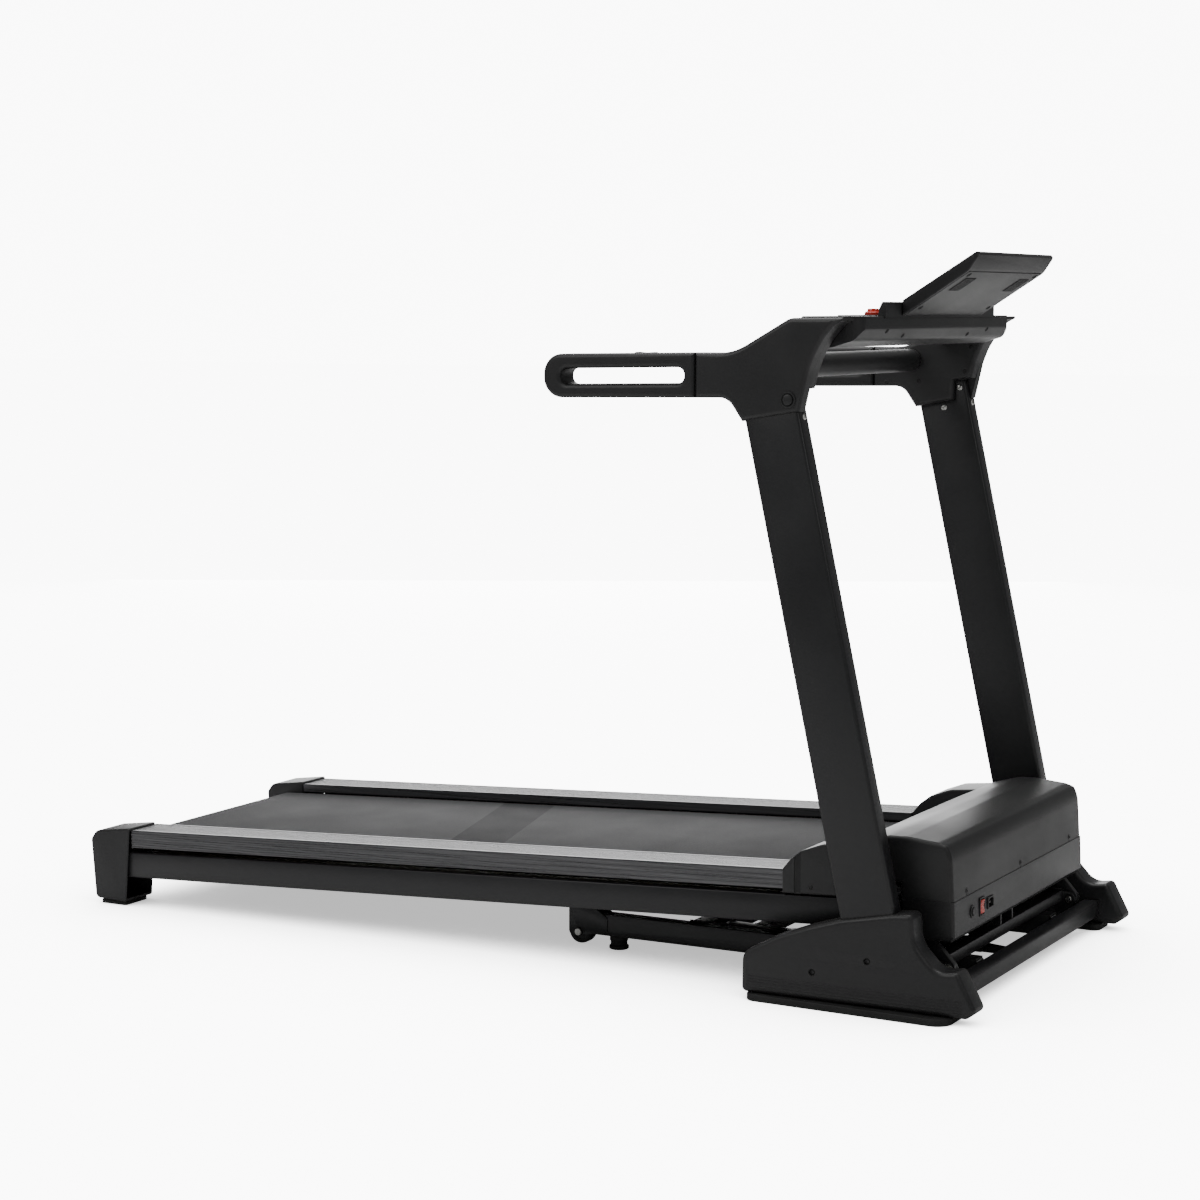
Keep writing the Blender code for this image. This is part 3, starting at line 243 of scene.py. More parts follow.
def cut(piece, *tools):
    """Cut tools out of a piece and remove them."""
    for tool in tools:
        combined(piece, tool, "DIFFERENCE")
        discard(tool)
    return piece


def cutter(name, loops, low, high, plane, place=MACHINE):
    """A tool to cut with: a plate whose rims are almost sharp."""
    return plate(name, loops, low, high, plane, place, edge=0.0001, steps=0)


def merged(name, *pieces):
    """One object made of several loose solids."""
    work = bmesh.new()
    for piece in pieces:
        work.from_mesh(piece.data)
        discard(piece)
    mesh = bpy.data.meshes.new(name)
    work.to_mesh(mesh)
    work.free()
    mesh.shade_smooth()
    mesh.set_sharp_from_angle(angle=math.radians(30))
    return placed(name, mesh)


def shader_of(name, roughness, metallic=0.0):
    """A new material, its node tree and its shader, with the constants set on the shader's sockets."""
    material = bpy.data.materials.new(name)
    material.use_nodes = True
    tree = material.node_tree
    shader = tree.nodes["Principled BSDF"]
    shader.inputs["Roughness"].default_value = roughness
    shader.inputs["Metallic"].default_value = metallic
    return material, tree, shader


def grain(tree, scale, stretch=(1.0, 1.0, 1.0), detail=4.0):
    """A noise pattern in Object coordinates, stretched along an axis where asked."""
    place = tree.nodes.new("ShaderNodeTexCoord")
    mapping = tree.nodes.new("ShaderNodeMapping")
    noise = tree.nodes.new("ShaderNodeTexNoise")
    mapping.inputs["Scale"].default_value = stretch
    noise.inputs["Scale"].default_value = scale
    noise.inputs["Detail"].default_value = detail
    tree.links.new(place.outputs["Object"], mapping.inputs["Vector"])
    tree.links.new(mapping.outputs["Vector"], noise.inputs["Vector"])
    return noise.outputs["Fac"]


def spread(tree, source, low, high, start=0.3, end=0.7):
    """Map a pattern to values from low to high."""
    ramp = tree.nodes.new("ShaderNodeMapRange")
    ramp.inputs["From Min"].default_value = start
    ramp.inputs["From Max"].default_value = end
    ramp.inputs["To Min"].default_value = low
    ramp.inputs["To Max"].default_value = high
    tree.links.new(source, ramp.inputs["Value"])
    return ramp.outputs["Result"]


def tint(tree, source, dark, pale):
    """A colour between dark and pale, by a pattern."""
    mix = tree.nodes.new("ShaderNodeMix")
    mix.data_type = "RGBA"
    mix.inputs["A"].default_value = (*dark, 1.0)
    mix.inputs["B"].default_value = (*pale, 1.0)
    tree.links.new(source, mix.inputs["Factor"])
    return mix.outputs["Result"]


def relief(tree, shader, source, height):
    """Bump from a pattern, height in metres."""
    bump = tree.nodes.new("ShaderNodeBump")
    bump.inputs["Distance"].default_value = height
    bump.inputs["Strength"].default_value = 1.0
    tree.links.new(source, bump.inputs["Height"])
    tree.links.new(bump.outputs["Normal"], shader.inputs["Normal"])


def coated(name, roughness, pattern, dark, pale, gloss=None, height=0.0, fine=None, metallic=0.0):
    """A material whose colour follows a pattern, and its gloss too where a range is given.

    pattern and fine hold what grain takes.  The relief has the height given and follows fine, or else
    the pattern.
    """
    material, tree, shader = shader_of(name, roughness, metallic)
    cloud = grain(tree, *pattern)
    tree.links.new(tint(tree, spread(tree, cloud, 0.0, 1.0), dark, pale), shader.inputs["Base Color"])
    if gloss:
        tree.links.new(spread(tree, cloud, *gloss), shader.inputs["Roughness"])
    if height:
        relief(tree, shader, grain(tree, *fine) if fine else cloud, height)
    return material


def textured_moulding(name, tone, roughness):
    """Spark-eroded black plastic: a fine even grain with slow changes of gloss."""
    return coated(name, roughness, (5.0,), tone, tuple(1.45 * t for t in tone),
                  gloss=(roughness - 0.05, roughness + 0.07), height=0.00005, fine=(1600.0, EVEN, 1.0))


EVEN = (1.0, 1.0, 1.0)      # a pattern that isn't stretched
POWDER = coated("satin_powder_coat", 0.36, (7.0,), (0.0125, 0.0125, 0.0135), (0.020, 0.020, 0.021),
                gloss=(0.30, 0.42), height=0.00004, fine=(900.0, EVEN, 2.0))
ZINC = coated("zinc_steel", 0.30, (60.0,), (0.50, 0.50, 0.48), (0.68, 0.68, 0.65),
              gloss=(0.22, 0.40), height=0.00002, fine=(500.0, (1.0, 0.1, 1.0)), metallic=1.0)
RUBBER = coated("matt_rubber", 0.68, (25.0,), (0.012, 0.012, 0.012), (0.022, 0.022, 0.022),
                height=0.00008, fine=(1100.0, EVEN, 2.0))
RED = coated("gloss_red", 0.26, (45.0,), (0.56, 0.022, 0.012), (0.74, 0.045, 0.022), height=0.00002,
             fine=(700.0,))
RAIL = coated("dark_anodised_rail", 0.34, (260.0, (0.012, 1.0, 1.0), 6.0), (0.075, 0.075, 0.078),
              (0.150, 0.150, 0.155), gloss=(0.24, 0.36), height=0.00003, metallic=0.85)
BOARD = coated("laminated_board", 0.55, (320.0, (0.25, 1.0, 1.0), 8.0), (0.13, 0.088, 0.055),
               (0.24, 0.175, 0.12),
               height=0.00006)
LENS = coated("display_lens", 0.07, (18.0,), (0.006, 0.006, 0.008), (0.010, 0.010, 0.013),
              gloss=(0.05, 0.11))
INK = coated("printed_grey", 0.35, (300.0,), (0.30, 0.31, 0.32), (0.38, 0.39, 0.40))
MOULDING = textured_moulding("black_moulding", (0.0165, 0.0165, 0.0170), 0.40)
HOOD = textured_moulding("hood_moulding", (0.0165, 0.0165, 0.0170), 0.42)
GRIP = textured_moulding("handle_moulding", (0.0150, 0.0150, 0.0155), 0.44)
HOUSING = textured_moulding("display_moulding", (0.0150, 0.0150, 0.0155), 0.33)
PANEL = textured_moulding("display_panel_moulding", (0.0260, 0.0260, 0.0265), 0.40)


def fit(piece, material, slot, body, *nodes):
    """Finish a piece: material, the body that carries it and the CAD nodes it stands for; slot is not used.
    """
    piece.data.materials.clear()
    piece.data.materials.append(material)
    for face in piece.data.polygons:
        face.material_index = 0
    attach(piece, body)
    if nodes:
        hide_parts(*nodes)
    return piece


TUBE_DEEP, TUBE_IN, TUBE_OUT, TUBE_WALL = 0.0977, 0.3732, 0.4099, 0.0020
TUBE_LOW, TUBE_HIGH = 0.0400, 1.0850
for side, sign in SIDES:
    y0, y1 = span(sign, TUBE_IN, TUBE_OUT)
    tube = plate(f"upright_tube_{side}", [rectangle(0.0, TUBE_DEEP, y0, y1, 0.0060),
                                          rectangle(TUBE_WALL, TUBE_DEEP - TUBE_WALL, y0 + TUBE_WALL,
                                                    y1 - TUBE_WALL,
                                                    0.0045)],
                 TUBE_LOW, TUBE_HIGH, "XY", UPRIGHT, edge=0.0004, steps=1)
    b0, b1 = span(sign, 0.3780, 0.4050)
    foot_bar = plate(f"foot_bar_{side}", [rectangle(-0.165, 0.128, 0.0130, 0.0520, 0.003)], b0, b1, "XZ")
    fit(merged(f"upright_with_foot_bar_{side}", tube, foot_bar), POWDER, "powder_coat", "base",
        f"upright_{side}")

# ------------------------------------------------------------ foot covers and soles
# A moulded cover hides each foot bar and the upright's weld.  Its outer rim has a broad rounded edge,
# five fine ribs run along its lower flank, and two button-head screws hold it to the bar.
COVER_IN, COVER_OUT, COVER_FOOT = 0.3660, 0.4163, 0.0125
COVER_SIDE = rounded([(-0.2085, COVER_FOOT, 0.009), (0.1894, COVER_FOOT, 0.009), (0.2075, 0.0254, 0.009),
                      (0.1745, 0.0880, 0.009), (0.1380, 0.0830, 0.035), (0.0995, 0.1250, 0.05),
                      (0.0960, 0.1745, 0.010), (0.0600, 0.1715), (-0.0313, 0.1534), (-0.0900, 0.1345),
                      (-0.1450, 0.1130), (-0.2070, 0.0800, 0.024)], 8)


def input_of(tree, name, kind, value):
    """A named input of a geometry tree, with its default."""
    socket = tree.interface.new_socket(name, in_out="INPUT", socket_type=kind)
    socket.default_value = value
    return socket


def geometry_tree(name):
    """An empty geometry tree with an output, and its group nodes."""
    tree = bpy.data.node_groups.new(name, "GeometryNodeTree")
    tree.interface.new_socket("Geometry", in_out="INPUT", socket_type="NodeSocketGeometry")
    tree.interface.new_socket("Geometry", in_out="OUTPUT", socket_type="NodeSocketGeometry")
    return tree, tree.nodes.new("NodeGroupInput"), tree.nodes.new("NodeGroupOutput")


def realised(tree, copies, end, material):
    """End a tree: its copies made real, in one material."""
    link = tree.links.new
    real = tree.nodes.new("GeometryNodeRealizeInstances")
    coat = tree.nodes.new("GeometryNodeSetMaterial")
    coat.inputs["Material"].default_value = material
    link(copies.outputs["Instances"], real.inputs["Geometry"])
    link(real.outputs["Geometry"], coat.inputs["Geometry"])
    link(coat.outputs["Geometry"], end.inputs["Geometry"])
    return tree


def grown(name, tree, mesh, place=MACHINE, **values):
    """Run a geometry tree on a mesh and keep the result as a plain mesh at the origin."""
    carrier = placed(name + "_carrier", mesh)
    change = carrier.modifiers.new("grow", "NODES")
    change.node_group = tree
    for socket in tree.interface.items_tree:
        if socket.item_type == "SOCKET" and socket.in_out == "INPUT" and socket.name in values:
            change[socket.identifier] = values[socket.name]
    result = plain_mesh(carrier)
    discard(carrier)
    return settle(name, result, place)


def screw_head_tree():
    """Button-head screws with a hexagon socket, one on each point, turned to its facing attribute."""
    tree, start, end = geometry_tree("screw_heads")
    input_of(tree, "radius", "NodeSocketFloat", 0.004)
    input_of(tree, "height", "NodeSocketFloat", 0.0018)
    link = tree.links.new
    head = tree.nodes.new("GeometryNodeMeshUVSphere")
    head.inputs["Segments"].default_value = 24
    head.inputs["Rings"].default_value = 12
    link(start.outputs["radius"], head.inputs["Radius"])
    ratio = tree.nodes.new("ShaderNodeMath")
    ratio.operation = "DIVIDE"
    link(start.outputs["height"], ratio.inputs[0])
    link(start.outputs["radius"], ratio.inputs[1])
    scale = tree.nodes.new("ShaderNodeCombineXYZ")
    scale.inputs["X"].default_value = scale.inputs["Y"].default_value = 1.0
    link(ratio.outputs[0], scale.inputs["Z"])
    flatten = tree.nodes.new("GeometryNodeTransform")
    link(head.outputs["Mesh"], flatten.inputs["Geometry"])
    link(scale.outputs[0], flatten.inputs["Scale"])
    key = tree.nodes.new("GeometryNodeMeshCylinder")
    key.inputs["Vertices"].default_value = 6
    half = tree.nodes.new("ShaderNodeMath")
    half.operation = "MULTIPLY"
    half.inputs[1].default_value = 0.47
    link(start.outputs["radius"], half.inputs[0])
    link(half.outputs[0], key.inputs["Radius"])
    link(start.outputs["radius"], key.inputs["Depth"])
    lift = tree.nodes.new("ShaderNodeVectorMath")
    lift.operation = "SCALE"
    lift.inputs[0].default_value = (0.0, 0.0, 0.62)
    link(start.outputs["radius"], lift.inputs["Scale"])
    place_key = tree.nodes.new("GeometryNodeTransform")
    place_key.inputs["Rotation"].default_value = (0.0, 0.0, 0.11)
    link(key.outputs["Mesh"], place_key.inputs["Geometry"])
    link(lift.outputs[0], place_key.inputs["Translation"])
    socket = tree.nodes.new("GeometryNodeMeshBoolean")
    socket.operation = "DIFFERENCE"
    link(flatten.outputs["Geometry"], socket.inputs["Mesh 1"])
    link(place_key.outputs["Geometry"], socket.inputs["Mesh 2"])
    solid = socket.outputs["Mesh"]
    copies = tree.nodes.new("GeometryNodeInstanceOnPoints")
    normal = tree.nodes.new("GeometryNodeInputNamedAttribute")
    normal.data_type = "FLOAT_VECTOR"
    normal.inputs["Name"].default_value = "facing"
    align = tree.nodes.new("FunctionNodeAlignEulerToVector")
    align.axis = "Z"
    link(normal.outputs["Attribute"], align.inputs["Vector"])
    link(start.outputs["Geometry"], copies.inputs["Points"])
    link(solid, copies.inputs["Instance"])
    link(align.outputs["Rotation"], copies.inputs["Rotation"])
    return realised(tree, copies, end, ZINC)


SCREW_HEADS = screw_head_tree()


def screws(name, body, points, radius=0.0040, height=0.0018, place=MACHINE, coat=None, slot="steel"):
    """Screw heads at (place, facing) pairs, on one body."""
    mesh = bpy.data.meshes.new(name)
    mesh.from_pydata([point for point, facing in points], [], [])
    attribute = mesh.attributes.new("facing", "FLOAT_VECTOR", "POINT")
    for index, (point, facing) in enumerate(points):
        attribute.data[index].vector = facing
    piece = grown(name, SCREW_HEADS, mesh, place, radius=radius, height=height)
    return fit(piece, coat or ZINC, slot, body)


def rib_tree():
    """Copies of the mesh given, repeated along a step."""
    tree, start, end = geometry_tree("repeat_along")
    input_of(tree, "count", "NodeSocketInt", 5)
    input_of(tree, "step", "NodeSocketVector", (0.0, 0.0, 0.0))
    link = tree.links.new
    line = tree.nodes.new("GeometryNodeMeshLine")
    line.mode = "OFFSET"
    link(start.outputs["count"], line.inputs["Count"])
    link(start.outputs["step"], line.inputs["Offset"])
    copies = tree.nodes.new("GeometryNodeInstanceOnPoints")
    link(line.outputs["Mesh"], copies.inputs["Points"])
    link(start.outputs["Geometry"], copies.inputs["Instance"])
    return realised(tree, copies, end, MOULDING)


REPEAT = rib_tree()


def repeated(name, piece, count, step):
    """Copies of a piece along a step in machine axes, as one object; the piece given is used up."""
    mesh = piece.data
    discard(piece)
    return grown(name, REPEAT, mesh, Matrix.Identity(4), count=count, step=step)


COVER_SCREWS, SCREW_SUNK = ((0.0181, 0.0894), (-0.0791, 0.0600)), 0.0035
for side, sign in SIDES:
    cover = plate(f"foot_shell_{side}", [COVER_SIDE], *span(sign, COVER_IN, COVER_OUT), "XZ", edge=0.0085,
                  steps=5)
    y0, y1 = span(sign, TUBE_IN - 0.0008, TUBE_OUT + 0.0008)
    cut(cover, cutter("tube_space", [rectangle(-0.0008, TUBE_DEEP + 0.0008, y0, y1, 0.0060)], 0.020, 0.300,
                      "XY",
                      UPRIGHT),
        plate("bar_space", [rounded([(-0.190, -0.01), (0.170, -0.01), (0.150, 0.060), (0.085, 0.110),
                                     (-0.080, 0.120), (-0.190, 0.070)])],
              *span(sign, 0.3775, 0.4125), "XZ", edge=0.0005, steps=0))
    for x, z in COVER_SCREWS:
        cut(cover, cutter("screw_well", [circle(x, z, 0.0058)],
                          *span(sign, COVER_OUT - SCREW_SUNK, COVER_OUT + 0.01), "XZ"))
    fit(cover, MOULDING, "moulding", "base", f"foot_cover_{side}")
    y0, y1 = span(sign, COVER_OUT - 0.0010, COVER_OUT + 0.0008)
    rib = plate("flank_rib", [rounded([(-0.1960, 0.0205, 0.0007), (0.1830, 0.0205, 0.0007),
                                       (0.1830, 0.0221, 0.0007),
                                       (-0.1960, 0.0221, 0.0007)], 2)], y0, y1, "XZ", edge=0.0006, steps=2)
    fit(repeated(f"foot_cover_ribs_{side}", rib, 5, (0.0, 0.0, 0.0050)), MOULDING, "moulding", "base")
    screws(f"foot_cover_screws_{side}", "base",
           [((x, sign * (COVER_OUT - SCREW_SUNK), z), (0.0, sign, 0.0)) for x, z in COVER_SCREWS], 0.0046,
           0.0018,
           coat=POWDER, slot="powder_coat")
    sole_top = rounded([(-0.2000, 0.3740, 0.012), (0.1650, 0.3520, 0.016), (0.1650, 0.4366, 0.030),
                        (-0.2000, 0.4240, 0.020)], 8)
    sole = plate(f"moulded_sole_{side}", [[(x, sign * y) for x, y in sole_top]], 0.0, COVER_FOOT - 0.0003,
                 "XY",
                 edge=0.0022, steps=3)
    fit(sole, RUBBER, "rubber", "base", f"sole_{side}")

# ------------------------------------------------------------ base tubes, wheels and rubber feet
# Two box-section members, tied by the front tube and a cross bar, run back to the transport wheels.
# They are welded steel in the same powder coat, with moulded wheels on plain axles.
def softened(node, width=0.0008, segments=2):
    """The frame's own solid with its flat faces cleaned and its hard edges rounded."""
    mesh = NODES[node].data.copy()
    work = bmesh.new()
    work.from_mesh(mesh)
    bmesh.ops.remove_doubles(work, verts=work.verts, dist=0.00002)
    bmesh.ops.dissolve_limit(work, angle_limit=math.radians(1.0), verts=work.verts, edges=work.edges)
    work.to_mesh(mesh)
    work.free()
    piece = settle(f"{node}_finished", mesh, Matrix.Identity(4))
    return baked(piece, ("BEVEL", {"width": width, "segments": segments, "limit_method": "ANGLE",
                                   "angle_limit": math.radians(35)}))


def turned(name, profile, place, axis="Y", steps=48, smooth=30):
    """A turned solid; the profile's points are (radius, distance along the axis), end to end."""
    mesh = bpy.data.meshes.new(name)
    work = bmesh.new()
    points = [work.verts.new((radius, 0.0, along)) for radius, along in profile]
    lines = [work.edges.new(pair) for pair in zip(points, points[1:])]
    bmesh.ops.spin(work, geom=points + lines, cent=(0, 0, 0), axis=(0, 0, 1), angle=2.0 * math.pi,
                   steps=steps,
                   use_merge=True)
    work.to_mesh(mesh)
    work.free()
    turn = {"X": Matrix.Rotation(math.pi / 2, 4, "Y"), "Y": Matrix.Rotation(-math.pi / 2, 4, "X"),
            "Z": Matrix.Identity(4)}[axis]
    return settle(name, mesh, place @ turn, smooth)


def at(x, y, z):
    """A place in machine axes."""
    return MACHINE @ Matrix.Translation((x, y, z))


def flipped(sign):
    """Half a turn about Z for what points outwards on the right side."""
    return Matrix.Rotation(math.pi, 4, "Z") if sign < 0 else Matrix.Identity(4)


def bead(name, points, radius=0.0022, place=MACHINE):
    """A weld bead: a slightly rippled round run through the points."""
    curve = bpy.data.curves.new(name, "CURVE")
    curve.dimensions = "3D"
    curve.bevel_depth = radius
    curve.bevel_resolution = 2
    curve.use_fill_caps = True
    spline = curve.splines.new("POLY")
    runs = []
    for start, end in zip(points, points[1:]):
        start, end = Vector(start), Vector(end)
        count = max(2, round((end - start).length / 0.002))
        runs += [start.lerp(end, i / count) for i in range(count)]
    runs.append(Vector(points[-1]))
    spline.points.add(len(runs) - 1)
    for index, (point, at_point) in enumerate(zip(spline.points, runs)):
        point.co = (*at_point, 1.0)
        point.radius = 1.0 + 0.22 * math.cos(index * math.pi)
    drawn = placed(name + "_run", curve)
    mesh = plain_mesh(drawn)
    discard(drawn)
    return settle(name, mesh, place, 60)


for node in ("front_cross_tube", "base_subframe"):
    fit(softened(node), POWDER, "powder_coat", "base", node)

WHEEL_X, WHEEL_Z, WHEEL_HALF = -0.6280, 0.0265, 0.0133
TYRE = [(0.0150, -0.0120), (0.0205, -0.0125), (0.0222, -0.0110), (0.0230, -0.0070), (0.0230, -0.0035),
        (0.0222, -0.0030),
        (0.0222, -0.0020), (0.0230, -0.0015), (0.0230, 0.0015), (0.0222, 0.0020), (0.0222, 0.0030),
        (0.0230, 0.0035),
        (0.0230, 0.0070), (0.0222, 0.0110), (0.0205, 0.0125), (0.0150, 0.0120)]
HUB = [(0.0, -WHEEL_HALF), (0.0080, -WHEEL_HALF), (0.0088, -0.0125), (0.0088, -0.0100), (0.0145, -0.0100),
       (0.0152, -0.0120), (0.0160, -0.0120), (0.0160, 0.0120), (0.0152, 0.0120), (0.0145, 0.0100),
       (0.0088, 0.0100),
       (0.0088, 0.0125), (0.0080, WHEEL_HALF), (0.0, WHEEL_HALF)]
AXLE = [(0.0, -0.0225), (0.0060, -0.0225), (0.0068, -0.0215), (0.0068, -0.0192), (0.0040, -0.0190),
        (0.0040, 0.0190),
        (0.0068, 0.0192), (0.0068, 0.0215), (0.0060, 0.0225), (0.0, 0.0225)]
PAD = [(0.0, 0.0), (0.0160, 0.0), (0.0178, 0.0015), (0.0178, 0.0060), (0.0150, 0.0085), (0.0150, 0.0140),
       (0.0165, 0.0160),
       (0.0165, 0.0237), (0.0, 0.0237)]
for side, sign in SIDES:
    centre = at(WHEEL_X, sign * 0.191, WHEEL_Z)
    wheel = f"transport_wheel_{side}"
    fit(turned(f"wheel_tyre_{side}", TYRE + TYRE[:1], centre), RUBBER, "rubber", wheel, wheel)
    fit(turned(f"wheel_hub_{side}", HUB, centre), MOULDING, "moulding", wheel)
    fit(turned(f"wheel_axle_{side}", AXLE, centre), ZINC, "steel", wheel)
    fit(turned(f"rubber_foot_{side}", PAD, at(-0.555, sign * 0.191, 0.0), "Z"), RUBBER, "rubber", "base",
        f"base_rubber_foot_{side}")
    fit(merged(f"base_welds_{side}",
               bead("weld_a", [(0.1300, sign * 0.1760, 0.0560), (0.1300, sign * 0.2060, 0.0560)]),
               bead("weld_b", [(-0.3830, sign * 0.1760, 0.0625), (-0.4190, sign * 0.1760, 0.0625)]),
               bead("weld_c", [(0.1310, sign * 0.3720, 0.0560), (0.1600, sign * 0.3720, 0.0560)])),
        POWDER, "powder_coat", "base")

# ------------------------------------------------------------ cradle, lift arms, pivots, jack and strut
# The jack pushes up two towers on the cradle, a welded cross bar whose ears hold the deck's pivot bolts.
# Two welded arms hinge on the subframe, guide the cradle's link pins in slots and hold the gas strut.
fit(softened("lift_arms", 0.0007), POWDER, "powder_coat", "lift_arms", "lift_arms")
fit(softened("incline_cradle", 0.0007), POWDER, "powder_coat", "incline_cradle", "incline_cradle")
fit(merged("lift_arm_welds",
           *(bead(f"bar_weld_{side}", [(-0.3115, sign * 0.1340, 0.0595), (-0.2885, sign * 0.1340, 0.0595)])
             for side, sign in SIDES)), POWDER, "powder_coat", "lift_arms")
fit(merged("cradle_welds",
           *(bead(f"ear_weld_{side}", [(0.0885, sign * 0.3005, 0.0845), (0.1115, sign * 0.3005, 0.0845)])
             for side, sign in SIDES),
           *(bead(f"tower_weld_{side}", [(0.0925, sign * 0.0325, 0.0842), (0.1095, sign * 0.0325, 0.0842)])
             for side, sign in SIDES)), POWDER, "powder_coat", "incline_cradle")

FOLD_X, FOLD_Z = 0.1230, 0.0672
BOLT = [(0.0, 0.2970), (0.0052, 0.2970), (0.0060, 0.2978), (0.0060, 0.3264), (0.0118, 0.3266),
        (0.0118, 0.3278),
        (0.0, 0.3278)]
for side, sign in SIDES:
    place = at(FOLD_X, 0.0, FOLD_Z) @ flipped(sign)
    shank = turned(f"pivot_shank_{side}", BOLT, place)
    head = plate(f"pivot_head_{side}", [circle(0.0, 0.0, 0.0100, 6)], 0.3279, 0.3330, "XZ", place,
                 edge=0.0010)
    fit(merged(f"pivot_bolt_{side}", shank, head), ZINC, "steel", "incline_cradle",
        f"fold_pivot_bolt_{side}")

JACK_X, JACK_Z = 0.0620, 0.0330
fit(softened("lift_motor", 0.0012, 3), POWDER, "powder_coat", "lift_motor", "lift_motor")
screws("lift_motor_screws", "lift_motor",
       [((JACK_X + x, sign * 0.0220, JACK_Z + z), (0.0, sign, 0.0))
        for x in (-0.0760, -0.0250) for z in (0.0320, 0.0700) for sign in (-1.0, 1.0)], 0.0028, 0.0014)


def thread(name, radius, start, length, pitch, place, steps=24):
    """A round bar with a rolled thread, as one helical skin along Z."""
    mesh = bpy.data.meshes.new(name)
    work = bmesh.new()
    rows = round(length / pitch * 4)
    rings = []
    for row in range(rows + 1):
        ring = []
        for step in range(steps):
            turn = 2.0 * math.pi * step / steps
            wave = math.cos(2.0 * math.pi * (row / 4.0) - turn)
            ring.append(work.verts.new(((radius + 0.0004 * wave) * math.cos(turn),
                                        (radius + 0.0004 * wave) * math.sin(turn),
                                        start + length * row / rows)))
        rings.append(ring)
    for lower_ring, upper_ring in zip(rings, rings[1:]):
        for step in range(steps):
            after = (step + 1) % steps
            work.faces.new((lower_ring[step], lower_ring[after], upper_ring[after], upper_ring[step]))
    work.faces.new(rings[0])
    work.faces.new(rings[-1])
    work.to_mesh(mesh)
    work.free()
    return settle(name, mesh, place, 50)


def pivot_eye(name, radius, half, place, bore=0.0040, rim=0.0006):
    """A bored eye at the end of a rod, half as wide as given to each side."""
    return turned(name, [(bore, -half), (radius - rim, -half), (radius, rim - half), (radius, half - rim),
                         (radius - rim, half), (bore, half), (bore, -half)], place)


JACK_TOP = 0.1900
screw = thread("jack_thread", 0.0066, 0.0265, 0.1220, 0.0030, at(JACK_X, 0.0, JACK_Z))
eye = pivot_eye("jack_eye", 0.0110, 0.0080, at(JACK_X, 0.0, JACK_TOP))
fit(merged("jack_screw", screw, eye), ZINC, "steel", "lift_screw", "lift_screw")

STRUT_FOOT, STRUT_HEAD = Vector((-0.3000, -0.0600, 0.0840)), Vector((-0.0200, -0.0600, 0.1000))
STRUT_LINE = STRUT_HEAD - STRUT_FOOT
STRUT = at(*STRUT_FOOT) @ Matrix.Rotation(-math.atan2(STRUT_LINE.z, STRUT_LINE.x), 4, "Y")
REACH = STRUT_LINE.length
tube_profile = [(0.0, 0.0090), (0.0090, 0.0092), (0.0118, 0.0120), (0.0120, 0.0140), (0.0120, 0.1690),
                (0.0113, 0.1705),
                (0.0120, 0.1720), (0.0112, 0.1765), (0.0062, 0.1770), (0.0062, 0.0420), (0.0, 0.0420)]
cylinder = turned("strut_tube", tube_profile, STRUT, "X")
clevis = plate("strut_clevis", [rounded([(-0.0070, -0.0070, 0.0065), (0.0120, -0.0070, 0.002),
                                         (0.0120, 0.0070, 0.002),
                                         (-0.0070, 0.0070, 0.0065)])], -0.0120, 0.0120, "XZ", STRUT)
pin = turned("strut_pin", [(0.0, -0.0215), (0.0060, -0.0215), (0.0060, -0.0195), (0.0040, -0.0195),
                           (0.0040, 0.0195),
                           (0.0060, 0.0195), (0.0060, 0.0215), (0.0, 0.0215)], STRUT)
fit(merged("gas_strut_tube", cylinder, clevis, pin), POWDER, "powder_coat", "strut_cylinder",
    "fold_strut_cylinder")
rod = turned("strut_bar", [(0.0, 0.0450), (0.0050, 0.0450), (0.0050, REACH - 0.0070), (0.0, REACH - 0.0070)],
             STRUT, "X")
eye = pivot_eye("strut_eye", 0.0090, 0.0060, STRUT @ Matrix.Translation((REACH, 0.0, 0.0)))
fit(merged("gas_strut_rod", rod, eye), ZINC, "steel", "strut_rod", "fold_strut_rod")

# ------------------------------------------------------------ deck beams, board and side rails
# Two steel beams and a cross tube carry a laminated board.  Aluminium foot rails cap the beams: dark
# anodised, with fine lengthwise grip ribs on top, a raised rim each side and four flutes on the flank.
DECK_ANGLE = math.radians(2.55)
DECK = MACHINE @ Matrix.Translation((-1.5384, 0.0, 0.1525)) @ Matrix.Rotation(-DECK_ANGLE, 4, "Y")
RAIL_OUT, RAIL_IN, RAIL_TOP, RAIL_FOOT, RAIL_LENGTH = 0.3340, 0.2537, -0.0035, -0.0370, 1.3687
for node in ("deck_beam_right", "deck_beam_left", "deck_cross_tube"):
    fit(softened(node, 0.0010), POWDER, "powder_coat", "deck", node)


